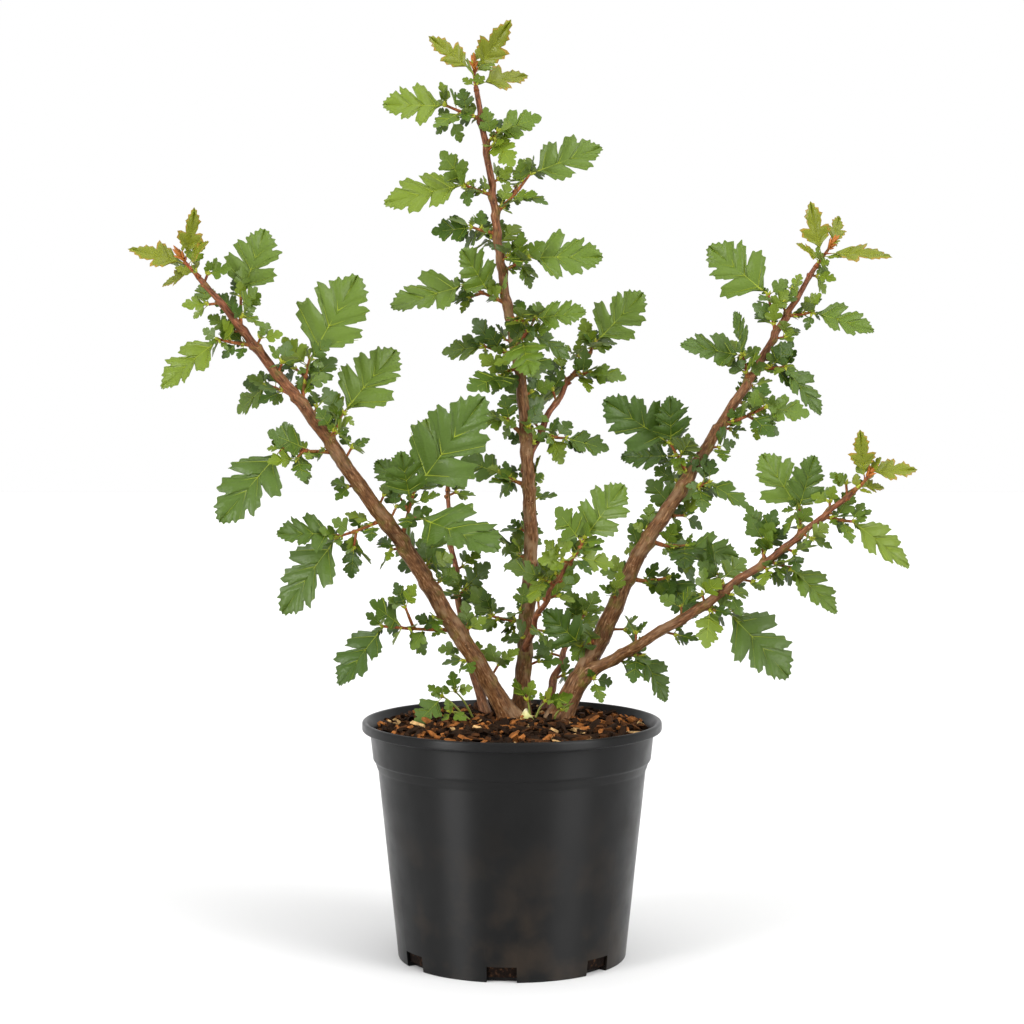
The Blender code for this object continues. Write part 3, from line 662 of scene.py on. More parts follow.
def make_pot():
    """The turned shell with its lip, collar and step, then the drain notches cut through its foot."""
    inside = [(COLLAR_TOP_RADIUS - WALL, POT_HEIGHT - LIP_HEIGHT - 0.6), (COLLAR_FOOT_RADIUS - WALL, COLLAR_FOOT_Z),
              (BODY_TOP_RADIUS - WALL, BODY_TOP_Z), (BASE_RADIUS - WALL + 0.2, FLOOR)]
    lip = [(RIM_RADIUS - 3.4, POT_HEIGHT - 0.8), (RIM_RADIUS - 2.6, POT_HEIGHT), (RIM_RADIUS - 0.9, POT_HEIGHT),
           (RIM_RADIUS, POT_HEIGHT - 0.9), (RIM_RADIUS, POT_HEIGHT - LIP_HEIGHT + 0.6),
           (RIM_RADIUS - 0.8, POT_HEIGHT - LIP_HEIGHT)]
    outside = [(COLLAR_TOP_RADIUS, POT_HEIGHT - LIP_HEIGHT - 0.6), (COLLAR_FOOT_RADIUS, COLLAR_FOOT_Z),
               (COLLAR_FOOT_RADIUS - 1.1, COLLAR_FOOT_Z - 1.0), (BODY_TOP_RADIUS + 0.4, BODY_TOP_Z),
               (BODY_TOP_RADIUS - 0.2, BODY_TOP_Z - 1.2), (BASE_RADIUS, 0)]
    profile = [(0, FLOOR), *reversed(inside), *lip, *outside, (0, 0)]
    points, faces = turned(rounded(profile, 1.1), POT_COLUMNS)
    pot = make_piece("pot_shell", points, faces, [pot_plastic()], "pot", replaced=("pot",))
    box = np.array([(x, y, z) for z in (-1, 1) for y in (-1, 1) for x in (-1, 1)], float)
    box *= (NOTCH_DEPTH, NOTCH_WIDTH / 2, NOTCH_HEIGHT)
    sides = np.array([(0, 2, 3, 1), (4, 5, 7, 6), (0, 1, 5, 4), (2, 6, 7, 3), (0, 4, 6, 2), (1, 3, 7, 5)])
    turns = np.radians(FIRST_NOTCH + np.arange(NOTCH_COUNT) * 360 / NOTCH_COUNT)
    cosine, sine = np.cos(turns)[:, None], np.sin(turns)[:, None]
    out = box[:, 0] + BASE_RADIUS
    notches = Bundle()
    notches.add_copies(np.stack([out * cosine - box[:, 1] * sine, out * sine + box[:, 1] * cosine,
                                 np.broadcast_to(box[:, 2], (NOTCH_COUNT, 8))], axis=2), sides)
    cutter = notches.piece("notches", [], "pot")
    cut = pot.modifiers.new("Notches", "BOOLEAN")
    cut.operation = "DIFFERENCE"
    cut.object = cutter
    graph = bpy.context.evaluated_depsgraph_get()
    result = bpy.data.meshes.new_from_object(pot.evaluated_get(graph))
    pot.modifiers.clear()
    pot.data = result
    bpy.data.objects.remove(cutter)
    result.shade_smooth()
    result.set_sharp_from_angle(angle=math.radians(38))


def mulch_height(radius):
    """Height of the filling: flat round the stems, then falling evenly to the wall."""
    edge = COLLAR_TOP_RADIUS - WALL
    share = np.clip((radius - MOUND_RADIUS) / (edge - MOUND_RADIUS), 0, 1)
    return MOUND_Z + (MULCH_EDGE_Z - MOUND_Z) * share


def make_soil():
    """The filling under the bark: a disc of rings whose height is the mound's less a little, plus waves, and
    a wall that follows the pot's inside down to the floor."""
    rng = random.Random(FINE_SEED)
    edge = COLLAR_TOP_RADIUS - WALL - 0.7
    columns = 160
    radius = np.linspace(0.5, edge, 70)[:, None]
    angle = (np.arange(columns) * math.tau / columns)[None]
    x, y = radius * np.cos(angle), radius * np.sin(angle)
    rough = waves(rng, x, y, 26, (-0.9, 0.9), [0.1, 0.3, 0.5, 0.7, 0.9], 0.55)
    top = np.stack([x, y, mulch_height(radius) - 1.5 + rough], axis=2)
    wall = np.array([(COLLAR_FOOT_RADIUS - WALL - 0.7, COLLAR_FOOT_Z), (BODY_TOP_RADIUS - WALL - 0.7, BODY_TOP_Z),
                     (BASE_RADIUS - WALL - 0.5, FLOOR + 0.6)])[:, :, None]
    side = np.stack([wall[:, 0] * np.cos(angle), wall[:, 0] * np.sin(angle), wall[:, 1] + 0 * angle], axis=2)
    rings = np.concatenate([side[::-1], top[::-1]])
    points = np.vstack([rings.reshape(-1, 3), (0, 0, FLOOR + 0.6), (0, 0, MOUND_Z - 1.5)])
    make_piece("potting_mix", points, capped(len(rings), columns), [soil()], "mulch", replaced=("mulch",))


def make_chips(limbs):
    """Shards of bark: a long slab with six seeded corners, a smaller copy of it above, bent a little, and
    both turned and tipped at random where they lie."""
    rng = np.random.default_rng(FINE_SEED)
    edge = COLLAR_TOP_RADIUS - WALL - 1.2
    count = CHIP_COUNT
    length = CHIP_LENGTH[0] + (CHIP_LENGTH[1] - CHIP_LENGTH[0]) * rng.random(count) ** 2.1
    width = length * rng.uniform(0.20, 0.52, count)
    thick = rng.uniform(0.7, 2.2, count)
    radius = np.sqrt((np.arange(count) + 0.5) / count) * edge
    radius = np.minimum(radius, edge - length * 0.5)
    angle = np.arange(count) * math.radians(GOLDEN_TURN) + rng.uniform(-0.1, 0.1, count)
    centre = np.stack([radius * np.cos(angle), radius * np.sin(angle),
                       mulch_height(radius) + rng.uniform(-1.1, 1.3, count)], axis=1)
    slab = np.array([(-1, -0.8, 0), (0.1, -1, 0), (1, -0.6, 0), (0.9, 0.7, 0), (0, 1, 0), (-0.95, 0.6, 0)])
    corner = slab * rng.uniform(0.62, 1.12, (count, 6, 3))
    low = corner * np.stack([length / 2, width / 2, 0 * length], axis=1)[:, None]
    low[..., 2] += rng.uniform(-0.3, 0.3, (count, 6))
    high = low * rng.uniform(0.72, 0.97, (count, 1, 1)) + np.array([0, 0, 1]) * thick[:, None, None]
    shard = np.concatenate([low, high], axis=1)
    shard[..., 2] += 0.6 * (shard[..., 0] / length[:, None]) ** 2 * rng.uniform(-2, 2, (count, 1))
    spin, tip, roll = rng.uniform(0, math.tau, count), rng.normal(0, 0.34, count), rng.normal(0, 0.4, count)
    shard = rotated(rotated(rotated(shard, roll, 1, 2), tip, 0, 2), spin, 0, 1) + centre[:, None]
    clear = np.ones(count, bool)
    for limb in limbs.values():
        clear &= np.hypot(*(centre[:, :2] - limb.foot[:2]).T) > 0.75 * (limb.foot_radius + limb.flare)
    here = np.arange(6)
    after = (here + 1) % 6
    faces = np.vstack([np.stack([here, after, after + 6, here + 6], axis=1),
                       [(0, 3, 2, 1), (0, 5, 4, 3), (6, 7, 8, 9), (6, 9, 10, 11)]])
    draw = rng.random(count)
    start = 0.0
    for name, share in CHIP_SHARES.items():
        chosen = clear & (draw >= start) & (draw < start + share)
        start += share
        chips = Bundle()
        chips.add_copies(shard[chosen], faces)
        chips.piece("bark_chips_" + name, [chip_wood("chip " + name, CHIP_COLOURS[name])], "mulch", sharp=30)


def rotated(points, angles, first, second):
    """Each row of points turned by its own angle in the plane of two axes."""
    cosine, sine = np.cos(angles)[:, None], np.sin(angles)[:, None]
    turned_points = points.copy()
    turned_points[..., first] = points[..., first] * cosine - points[..., second] * sine
    turned_points[..., second] = points[..., first] * sine + points[..., second] * cosine
    return turned_points


# Limbs

class Limb:
    """A tapering limb: a straight line from foot to tip with one bow, one sway and a slight wander."""

    def __init__(self, name, foot, tip, bow, sway, flare, foot_radius, tip_radius, hold, index):
        self.name = name
        self.foot, self.tip = np.array(foot, float), np.array(tip, float)
        self.bow = np.array([bow[0], 0, bow[1]], float)
        self.sway, self.flare = sway, flare
        self.foot_radius, self.tip_radius, self.hold = foot_radius, tip_radius, hold
        self.index = index
        self.length = float(np.linalg.norm(self.tip - self.foot))
        self.bumps = []     # (place, direction, height, reach) of swellings
        self.is_stem = name.endswith("_stem")
        self.samples = self.axis(np.linspace(0, 1, 120))
        self.sample_radii = self.radius(np.linspace(0, 1, 120))
        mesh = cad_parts[name].data
        corners = np.array([v.co for v in mesh.vertices], float) / MM
        self.tree = BVHTree.FromPolygons(corners.tolist(), [list(p.vertices) for p in mesh.polygons])

    def axis(self, t):
        """The centreline at shares t of its length: a straight run plus the bow times 4t(1-t), the sway
        times the sine of a full turn, and two slow waves."""
        t = np.atleast_1d(np.asarray(t, float))
        swell = 4 * t * (1 - t)
        stray = WANDER * swell[:, None] * np.stack([
            np.sin(math.tau * (WANDER_WAVES[0] * t + 0.37 * self.index)),
            np.sin(math.tau * (WANDER_WAVES[1] * t + 0.61 * self.index)),
            0 * t,
        ], axis=1)
        stray[:, 0] += self.sway * np.sin(math.tau * t)
        return self.foot + np.outer(t, self.tip - self.foot) + np.outer(swell, self.bow) + stray

    def line(self, t):
        """The line that the bark follows: the centreline, a swing to one side that fades by a bell curve,
        and a zigzag between the nodes that is straight from each to the next."""
        t = np.atleast_1d(np.asarray(t, float))
        line = self.axis(t)
        if self.name in SWINGS:
            place, reach, along_x, along_z = SWINGS[self.name]
            bell = np.exp(-((t - place) / reach) ** 2) * np.minimum(t / 0.1, 1)
            line = line + bell[:, None] * np.array([along_x, 0, along_z])
        places = sorted({0.0, 1.0, *(bump[0] for bump in self.bumps if 0.04 < bump[0] < 0.99)})
        aside = [ZIGZAG * (-1) ** k * (0 < place < 1) for k, place in enumerate(places)]
        across, beyond = self.frame_at(t)
        zigzag = np.interp(t, places, aside)[:, None]
        return line + zigzag * across - 0.5 * zigzag * beyond

    def course(self, t):
        """The centreline's direction at t."""
        t = np.atleast_1d(np.asarray(t, float))
        return unit(self.axis(np.minimum(t + 0.01, 1)) - self.axis(np.maximum(t - 0.01, 0)))

    def radius(self, t):
        """Half the thickness at t: a taper that is held back at first, plus the root flare."""
        t = np.asarray(t, float)
        taper = self.tip_radius + (self.foot_radius - self.tip_radius) * (1 - np.abs(t) ** self.hold)
        return taper + self.flare * np.exp(-np.maximum(t, 0) * self.length / FLARE_REACH)

    def frame_at(self, t):
        """Two directions square to the centreline: to the right, and to the back."""
        course = self.course(t)
        across = unit(np.cross((0, 1, 0), course))
        return across, np.cross(course, across)

    def angle_of(self, place, direction):
        """The angle round the limb that a direction points to."""
        across, beyond = self.frame_at(place)
        return math.atan2(float(direction @ beyond[0]), float(direction @ across[0]))

    def seat(self, place, direction):
        """Where a twig of that direction leaves the limb's surface."""
        if place == 1:
            return self.axis(1)[0] + self.course(1)[0] * GAP
        start = self.axis(place)[0]
        slope = math.sqrt(max(1 - float(np.dot(direction, self.course(place)[0])) ** 2, 0.04))
        hit = self.tree.ray_cast(start.tolist(), direction.tolist())
        reach = hit[3] if hit[3] is not None else float(self.radius(place))
        return start + direction * (reach + GAP / slope)


def grow_limbs():
    """The stems and boughs of the frame, by the same rule."""
    limbs = {}
    for name, (foot, tip, bow, sway, flare, thick, thin, hold) in STEMS.items():
        limbs[name] = Limb(name, (*foot, GROUND), tip, bow, sway, flare, thick, thin, hold, len(limbs))
    for name, (stem, place, tip, bow, thick, thin) in BOUGHS.items():
        foot = limbs[stem].axis(place)[0]
        limbs[name] = Limb(name, foot, tip, bow, 0, 0, thick, thin, 1, len(limbs))
        direction = limbs[name].course(0.1)[0]
        limbs[stem].bumps.append((place, direction, thick * 0.30, 7.0))
    return limbs


def make_limb(limb, finish):
    """A limb with the bark's relief: rings whose radius is the limb's own, plus a swelling at each node, a
    low ring under it, long seams that wind round the limb, and a fine unevenness."""
    rng = random.Random(FINE_SEED + limb.index)
    rows = int(limb.length / 0.9)
    columns = 40 if limb.foot_radius > 4 else 28
    t = np.linspace(-0.012 if limb.is_stem else 0.0, 1, rows)
    angle = np.arange(columns) * math.tau / columns
    along = (t * limb.length)[:, None]
    base = limb.radius(t)[:, None] * SLIM
    seams = np.abs(waves(rng, along, angle[None], 7, (0.002, 0.02), [3, 5, 6, 8, 9], 1.0))
    grain = waves(rng, along, angle[None], 18, (0.3, 1.4), [2, 5, 8, 11, 13], 1.0)
    age = np.clip((1 - t) * limb.length / 260, 0, 1)[:, None] * min(1.0, limb.foot_radius / 5)
    radius = base * (1 + 0.022 * waves(rng, along, angle[None], 6, (0.02, 0.07), [1, 2, 3], 1.0))
    radius += (0.05 + 0.10 * age) * (0.5 - seams) * np.minimum(base / 4, 1) + 0.07 * grain * (0.5 + age)
    node = np.zeros_like(radius)
    for place, direction, height, reach in limb.bumps:
        offset = np.angle(np.exp(1j * (angle - limb.angle_of(place, direction))))[None]
        gap = along - place * limb.length
        knob = np.exp(-(gap / reach) ** 2 - (offset / 0.75) ** 2)
        radius += height * knob + 0.20 * height * np.exp(-((gap + 1.5) / 2.2) ** 2)
        node = np.maximum(node, np.exp(-(gap / 4) ** 2 - (offset / 1.3) ** 2))
    if limb.is_stem:
        lobes = np.cos(3 * angle + limb.index)[None] + 0.5 * np.cos(5 * angle)[None]
        radius += 1.1 * np.exp(-np.maximum(along, 0) / 9) * lobes * limb.foot_radius / 6
    else:
        radius += 0.35 * limb.foot_radius * np.exp(-((along - limb.foot_radius * 1.6) / 5) ** 2)
    across, beyond = limb.frame_at(np.clip(t, 0, 1))
    offsets = np.cos(angle)[None, :, None] * across[:, None] + np.sin(angle)[None, :, None] * beyond[:, None]
    axis = limb.line(t)
    rings = axis[:, None] + radius[..., None] * offsets
    grain_place = np.stack([radius * np.cos(angle), radius * np.sin(angle), along + 0 * radius], axis=2)
    grain_place[..., 0] += 40 * limb.index
    grain_ends = [(0, 0, along[0, 0]), (0, 0, along[-1, 0])]
    points = np.vstack([rings.reshape(-1, 3), axis[0], axis[-1] + limb.course(1)[0] * 0.8])
    ages = np.append(np.broadcast_to(age, radius.shape).ravel(), (age[0, 0], age[-1, 0]))
    make_piece(limb.name + "_bark", points, capped(rows, columns), [finish], "bark", replaced=(limb.name,),
               attributes={"age": ages, "node": np.append(node.ravel(), (0, 0)),
                           "grain": np.vstack([grain_place.reshape(-1, 3), grain_ends]) * MM})
    limb.skin = (t, angle, rings)


def make_lenticels(limbs, finish):
    """Pale breathing pores: low six-sided lenses that lie across the limb, their middles pushed out and,
    under the bark, in."""
    rng = np.random.default_rng(FINE_SEED + 1)
    ring = np.arange(6) * math.tau / 6
    here = np.arange(6)
    after = (here + 1) % 6
    above, below = np.full(6, 6), np.full(6, 7)
    faces = np.vstack([np.stack([here, after, above, above], axis=1),
                       np.stack([after, here, below, below], axis=1)])
    pores = Bundle()
    for limb in limbs.values():
        t, angle, rings = limb.skin
        count = int(limb.length * limb.foot_radius / 18)
        row = rng.integers(3, len(t) - 4, count)
        column = rng.integers(0, len(angle), count)
        centre = rings[row, column]
        around = unit(rings[row, (column + 1) % len(angle)] - rings[row, column - 1])
        along = unit(rings[row + 2, column] - rings[row - 2, column])
        out = np.cross(around, along)
        wide, tall = rng.uniform(0.28, 0.62, (count, 1, 1)), rng.uniform(0.16, 0.28, (count, 1, 1))
        rim = (centre[:, None] + wide * np.cos(ring)[None, :, None] * around[:, None]
               + tall * np.sin(ring)[None, :, None] * along[:, None] + 0.02 * out[:, None])
        points = np.concatenate([rim, (centre + 0.14 * out)[:, None], (centre - 0.2 * out)[:, None]], axis=1)
        pores.add_copies(points, faces)
    pores.piece("bark_pores", [finish], "bark")


# Leaves

def blade_form(form, rng):
    """One flat leaf: points of (along, out, belly, lift), faces and their finishes.

    Each corner of the edge is joined to its place on the midrib, and the rows lie at even shares between, on
    both sides of the midrib. A large blade's corners are each cut off by two new ones, a part of the way to their
    neighbours. Seeded waves along the edge stretch and shift its lobes. Belly is VEIN_SINK on
    the midrib, 0 on the edge, and between them full half way from vein to vein and VEIN_SINK on a vein. Lift,
    in millimetres, parts the upper and the lower skin by the blade's thickness, and is 0 on the edge, where
    they meet."""
    corners, feet = LEAF_FORMS[form]
    corners = np.array(corners)
    if form == "large":
        inner = corners[1:-1]
        cut = np.stack([0.80 * inner + 0.20 * corners[:-2], 0.80 * inner + 0.20 * corners[2:]], axis=1)
        corners = np.vstack([corners[0], cut.reshape(-1, 3), corners[-1]])
    share = np.array(LEAF_ROWS[form])[:, None]
    count, rows = len(corners), len(share)
    crown = np.min([np.abs(corners[:, 2] - foot[0]) for foot in feet], axis=0) / BELLY_REACH
    crown = VEIN_SINK + (1 - VEIN_SINK) * np.minimum(crown, 1)
    free = np.minimum(corners[:, 1] / 0.1, 1) * np.minimum((1 - corners[:, 0]) / 0.1, 1)
    rib = np.column_stack([corners[:, 2], np.zeros(count), np.full(count, VEIN_SINK)])
    rib[[0, -1], 2] = 0
    sheets, veins = [rib], [rib[[0, count // 4, count // 2, -6, -3]]]
    for mirror in (1, -1):
        phases = [rng.uniform(0, math.tau) for _ in range(3)]
        along = corners[:, 0] + free * (0.018 * np.sin(8 * corners[:, 0] + phases[0])
                                        + [rng.uniform(-0.008, 0.008) for _ in corners])
        out = corners[:, 1] * (1 + 0.05 * np.sin(7 * corners[:, 0] + phases[1])
                               + 0.05 * np.sin(15 * corners[:, 0] + phases[2]))
        u = corners[:, 2] + (along - corners[:, 2]) * share
        v = mirror * out * share
        belly = crown * np.sin(math.pi * share)
        sheets.append(np.stack([u, v, belly], axis=2).reshape(-1, 3))
        for foot, reach, aside in feet:
            veins.append(np.array([foot, 0, VEIN_SINK])
                         + np.outer((0, 0.45, 0.9), (reach - foot, mirror * aside, -VEIN_SINK)))
    points = np.vstack(sheets)
    ends = np.arange(count)
    right = np.vstack([ends, count + np.arange(rows * count).reshape(rows, count)])
    left = np.vstack([ends, count * (1 + rows) + np.arange(rows * count).reshape(rows, count)])
    left[:, -1] = right[:, -1] = count - 1
    quads, kinds = [], []
    for grid, flip in ((right, 1), (left, -1)):
        square = np.stack([grid[:-1, :-1], grid[:-1, 1:], grid[1:, 1:], grid[1:, :-1]], axis=2)
        quads.append(square.reshape(-1, 4)[:, ::flip])
        kinds.append(np.repeat(np.where(np.arange(rows) == 2, 3, 0), count - 1))
    top, kinds = corners_in_order(np.vstack(quads)), np.concatenate(kinds)
    edge = np.zeros(len(points), bool)
    edge[[0, count - 1]] = True
    edge[right[-1]] = edge[left[-1]] = True
    edge[[right[k, 0] for k in range(1, rows + 1)] + [left[k, 0] for k in range(1, rows + 1)]] = True
    below = np.where(edge, np.arange(len(points)), len(points) + np.cumsum(~edge) - 1)
    lift = np.where(edge, 0, BLADE_THICKNESS / 2)[:, None]
    flat = np.vstack([np.hstack([points, lift]), np.hstack([points, -lift])[~edge]])
    parts = [(top, kinds), (corners_in_order(below[top][:, ::-1]), np.ones(len(top), int))]
    for line in veins if form != "small" else veins[:1]:
        ridge, sides = vein_ridge(line, 0.015 if line is veins[0] else 0.0065)
        parts.append((sides + len(flat), np.full(len(sides), 2)))
        flat = np.vstack([flat, ridge])
    return flat, np.concatenate([part[0] for part in parts]), np.concatenate([part[1] for part in parts])


def vein_ridge(line, half):
    """A vein as a closed bar with four edges along a line of (along, out, belly): at each point of it two lie
    to the sides, inside the blade, and two stand out of its skins, by a width that runs out to the end."""
    course = unit(np.gradient(line[:, :2], axis=0))
    square = np.stack([-course[:, 1], course[:, 0]], axis=1)
    taper = np.linspace(1, 0.5, len(line))
    ring = [np.column_stack([line[:, :2] + square * (side * half * taper)[:, None], line[:, 2],
                             lift * (BLADE_THICKNESS / 2 + VEIN_LIFT * taper)])
            for side, lift in ((1, 0), (0, 1), (-1, 0), (0, -1))]
    points = np.stack(ring, axis=1).reshape(-1, 4)
    last = 4 * (len(line) - 1)
    ends = np.array([(3, 2, 1, 0), (last, last + 1, last + 2, last + 3)])
    faces = np.vstack([grid_faces(len(line), 4, True), ends])
    return points, faces[:, ::-1]


def laid_out(flat, leaves):
    """A flat form laid into the space of many leaves, one row of points each.

    A point stands along the leaf by its share of the blade after the neck, and to the side by its share times
    the blade. Above the leaf's plane it stands by the fold times that share, less the droop times the square
    of the distance, plus the belly, a wave along each edge, and the lift in millimetres; then the section is
    twisted evenly from neck to tip."""
    neck, fold, droop, twist, wave, phase = (leaves[key][:, None] for key in
                                             ("neck", "fold", "droop", "twist", "wave", "phase"))
    blade = 1 - neck
    x = neck + blade * flat[None, :, 0]
    y = blade * flat[None, :, 1] * leaves["breadth"][:, None]
    out = np.abs(y)
    z = fold * out - droop * x ** 2 + BELLY * flat[None, :, 2]
    z = z + wave * out * np.sin(math.tau * 1.6 * flat[None, :, 0] + phase + 1.2 * np.sign(y))
    z = z - 0.3 * np.maximum(out - 0.15, 0) ** 2
    turn = twist * flat[None, :, 0]
    y, z_turned = y * np.cos(turn) - z * np.sin(turn), y * np.sin(turn) + z * np.cos(turn)
    length = leaves["length"][:, None]
    z_turned = z_turned * length + flat[None, :, 3]
    return (leaves["root"][:, None] + (x * length)[..., None] * leaves["along"][:, None]
            + (y * length)[..., None] * leaves["side"][:, None] + z_turned[..., None] * leaves["over"][:, None])


def leaf_rows(leaves):
    """The numbers of many leaves as arrays."""
    along = unit([leaf["along"] for leaf in leaves])
    side = unit(np.cross([leaf["show"] for leaf in leaves], along))
    rows = {"along": along, "side": side, "over": np.cross(along, side),
            "root": np.array([leaf["root"] for leaf in leaves])}
    for key in ("length", "neck", "fold", "droop", "twist", "wave", "phase", "breadth"):
        rows[key] = np.array([leaf[key] for leaf in leaves], float)
    return rows


def facing(along, lean, stray):
    """The side that a leaf shows: to the front and up, or to the back and up behind the plant."""
    depth = BACK_FACING if lean < BACK_LEAN else FRONT_FACING
    return unit((0.5 * along[0] + stray, depth, 0.6 + stray / 2))


class Crown:
    """All the foliage: lead and companion leaves where the frame has them, then finer ones between."""

    def __init__(self, limbs):
        self.limbs = limbs
        self.axes = np.concatenate([limb.samples for limb in limbs.values()])
        self.radii = np.concatenate([limb.sample_radii for limb in limbs.values()])
        self.leaves, self.twigs, self.buds = [], [], []
        self.proxies = []
        self.missed = 0
        self.low, self.high = (np.array(corner) / MM for corner in cad_box)

    def clear_of_limbs(self, points, margin=0.4):
        """True where no point lies in a limb."""
        gaps = np.linalg.norm(points[:, None] - self.axes[None], axis=2) - self.radii
        return bool(gaps.min() > margin)

    def outline(self, leaf):
        """A leaf's rough shape: its middle line and the tips of its lobes."""
        rows = leaf_rows([leaf])
        flat = np.array([(0.12, 0, 0), (0.4, 0, 0), (0.7, 0, 0), (1, 0, 0), (0.25, 0.4, 0), (0.25, -0.4, 0),
                         (0.6, 0.36, 0), (0.6, -0.36, 0), (0.85, 0.2, 0), (0.85, -0.2, 0)])
        return laid_out(np.pad(flat, ((0, 0), (0, 1))), rows)[0]

    def is_free(self, points, size):
        """True where a small leaf stays in the frame's box, off the limbs and off the leaves before it."""
        if (points < self.low).any() or (points > self.high).any() or points[:, 2].min() < GROUND - 1:
            return False
        if not self.clear_of_limbs(points):
            return False
        near = [tree for middle, reach, tree in self.proxies
                if np.linalg.norm(middle - points[2]) < reach + size]
        if not near:
            return True
        faces = [(0, 4, 1), (0, 1, 5), (1, 4, 6), (1, 6, 2), (1, 5, 7), (1, 7, 2), (2, 6, 8), (2, 8, 3), (2, 7, 9),
                 (2, 9, 3)]
        tree = BVHTree.FromPolygons(points.tolist(), faces)
        return not any(tree.overlap(other) for other in near)

    def keep(self, leaf, points):
        """Adds a leaf, and its rough shape for those that come after it."""
        faces = [(0, 4, 1), (0, 1, 5), (1, 4, 6), (1, 6, 2), (1, 5, 7), (1, 7, 2), (2, 6, 8), (2, 8, 3), (2, 7, 9),
                 (2, 9, 3)]
        self.proxies.append((points[2], leaf["length"] * 0.8, BVHTree.FromPolygons(points.tolist(), faces)))
        self.leaves.append(leaf)

    def leaf(self, rng, root, along, show, length, neck, tone):
        """The numbers of one leaf, with seeded curl."""
        return {"root": root, "along": along, "show": show, "length": length, "neck": neck, "tone": tone,
                "fold": FOLD * rng.uniform(0.6, 1.5), "droop": DROOP * rng.uniform(0.7, 1.7),
                "twist": rng.uniform(-0.28, 0.28), "wave": rng.uniform(0.03, 0.11),
                "phase": rng.uniform(0, math.tau), "breadth": rng.uniform(0.88, 1.06) * (0.86 if tone == "lime" else 1)}

    def add_frame_leaf(self, rng, curls, known, root, bearing, lean, length, turns, neck, tone):
        """A leaf that the frame has too, turned as it is there; one that the frame skipped is tried afresh."""
        bearing += rng.uniform(-5, 5)
        stray = rng.uniform(-0.4, 0.4)
        best = None
        for turn in turns:
            along = unit(heading(bearing, lean + turn) + np.array([0, 0, RISE]))
            show = facing(along, lean, stray)
            over = np.cross(along, unit(np.cross(show, along)))
            tip = root + length * (along - over * DROOP)
            gap = np.linalg.norm(known - tip, axis=1).min() if len(known) else math.inf
            if best is None or gap < best[0]:
                best = (gap, along, show)
        gap, along, show = best
        leaf = self.leaf(curls, root, along, show, length, neck, tone)
        points = self.outline(leaf)
        if gap < TIP_REACH or self.is_free(points, length):
            self.keep(leaf, points)
        else:
            self.missed += 1

    def add_fine_leaf(self, rng, root, along, length, tone, spare=3):
        """A small leaf that only the looks have, skipped where it has no room."""
        along = unit(along)
        for _ in range(spare):
            show = unit(np.array([0.5 * along[0], -0.75, 0.7]) + [rng.uniform(-0.6, 0.6) for _ in range(3)])
            leaf = self.leaf(rng, root, along, show, length, rng.uniform(0.16, 0.30), tone)
            leaf["fold"] *= 1.3
            points = self.outline(leaf)
            if self.is_free(points, length):
                self.keep(leaf, points)
                return True
            along = unit(along + [rng.uniform(-0.5, 0.5) for _ in range(3)])
        return False

    def add_twig(self, path, foot_radius, end_radius):
        """A twig along a path."""
        self.twigs.append((np.asarray(path), foot_radius, end_radius))

    def add_tuft(self, rng, root, out, count, lengths=None, tones=("deep", "dark", "green", "green", "fresh")):
        """Small leaves set round a direction by the golden turn, the first ones larger, with narrow green
        scales between them."""
        out = unit(out)
        across = unit(np.cross(np.eye(3)[np.argmin(np.abs(out))], out))
        beyond = np.cross(out, across)
        first = rng.uniform(0, math.tau)
        for k in range(count):
            turn = first + math.radians(GOLDEN_TURN) * k
            spread = math.radians(rng.uniform(28, 74))
            around = across * math.cos(turn) + beyond * math.sin(turn)
            along = out * math.cos(spread) + around * math.sin(spread) + np.array([0, 0, 0.15])
            length = rng.uniform(*(lengths or (LARGE_TUFT if k < (count + 1) // 2 else SMALL_TUFT)))
            self.add_fine_leaf(rng, root, along, length, rng.choice(tones))
        for k in range(2 + count // 2):
            turn = first + math.radians(GOLDEN_TURN) * (k + 0.5)
            around = across * math.cos(turn) + beyond * math.sin(turn)
            self.buds.append((root, unit(out + around * rng.uniform(0.2, 1.1)), rng.uniform(2.2, 4.6), "green"))

    def grow_mass(self, limb, spur, seed, node, young):
        """A mass of the frame: its twig, its lead and companion leaves, and tufts where they stand."""
        place, span, bearing, lean, leads = spur
        rng = random.Random(seed)
        fine = random.Random(FINE_SEED + seed)
        known = (np.array([v.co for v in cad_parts[node].data.vertices], float) / MM if node
                 else np.zeros((0, 3)))
        direction = heading(bearing, lean)
        start = limb.seat(place, direction)
        end = start + direction * span
        inside = limb.line(place)[0] if place < 1 else start - limb.course(1)[0] * 3
        share = np.linspace(0, 1, 9)[:, None]
        wave = np.sin(math.pi * share) * np.array([[fine.uniform(-0.8, 0.8), fine.uniform(-0.8, 0.8), -0.5]])
        self.add_twig(np.vstack([inside, start + (end - start) * share + wave]), TWIG_RADIUS * 0.95,
                      TWIG_RADIUS * 0.62)
        if place < 1:
            limb.bumps.append((place, direction, 0.7, 3.6))
        tones = ("lime",) if young else ("deep", "dark", "dark") if place < 0.55 else ("dark", "green", "green")
        for (spot, lead_bearing, length), fan in zip(leads, FAN):
            root = start + (end - start) * spot
            tone = fine.choice(tones)
            if not young and length < 30:
                tone = fine.choice(("deep", "dark", "green", "green", "fresh"))
            if not young and place > 0.82:
                tone = fine.choice(("green", "green", "fresh"))
            self.add_frame_leaf(rng, fine, known, root, lead_bearing, lean + fan, length, LEAD_TURNS,
                                NECK if spot < 1 else 0.09, tone)
            if not young:
                self.add_tuft(fine, root, heading(lead_bearing + fine.choice((-50, 50)), lean), 2)
        along = unit(end - start)
        across = unit(np.cross((0, 1, 0), along))
        beyond = np.cross(along, across)
        spread = math.radians(COMPANION_SPREAD)
        first = rng.uniform(0, 360)
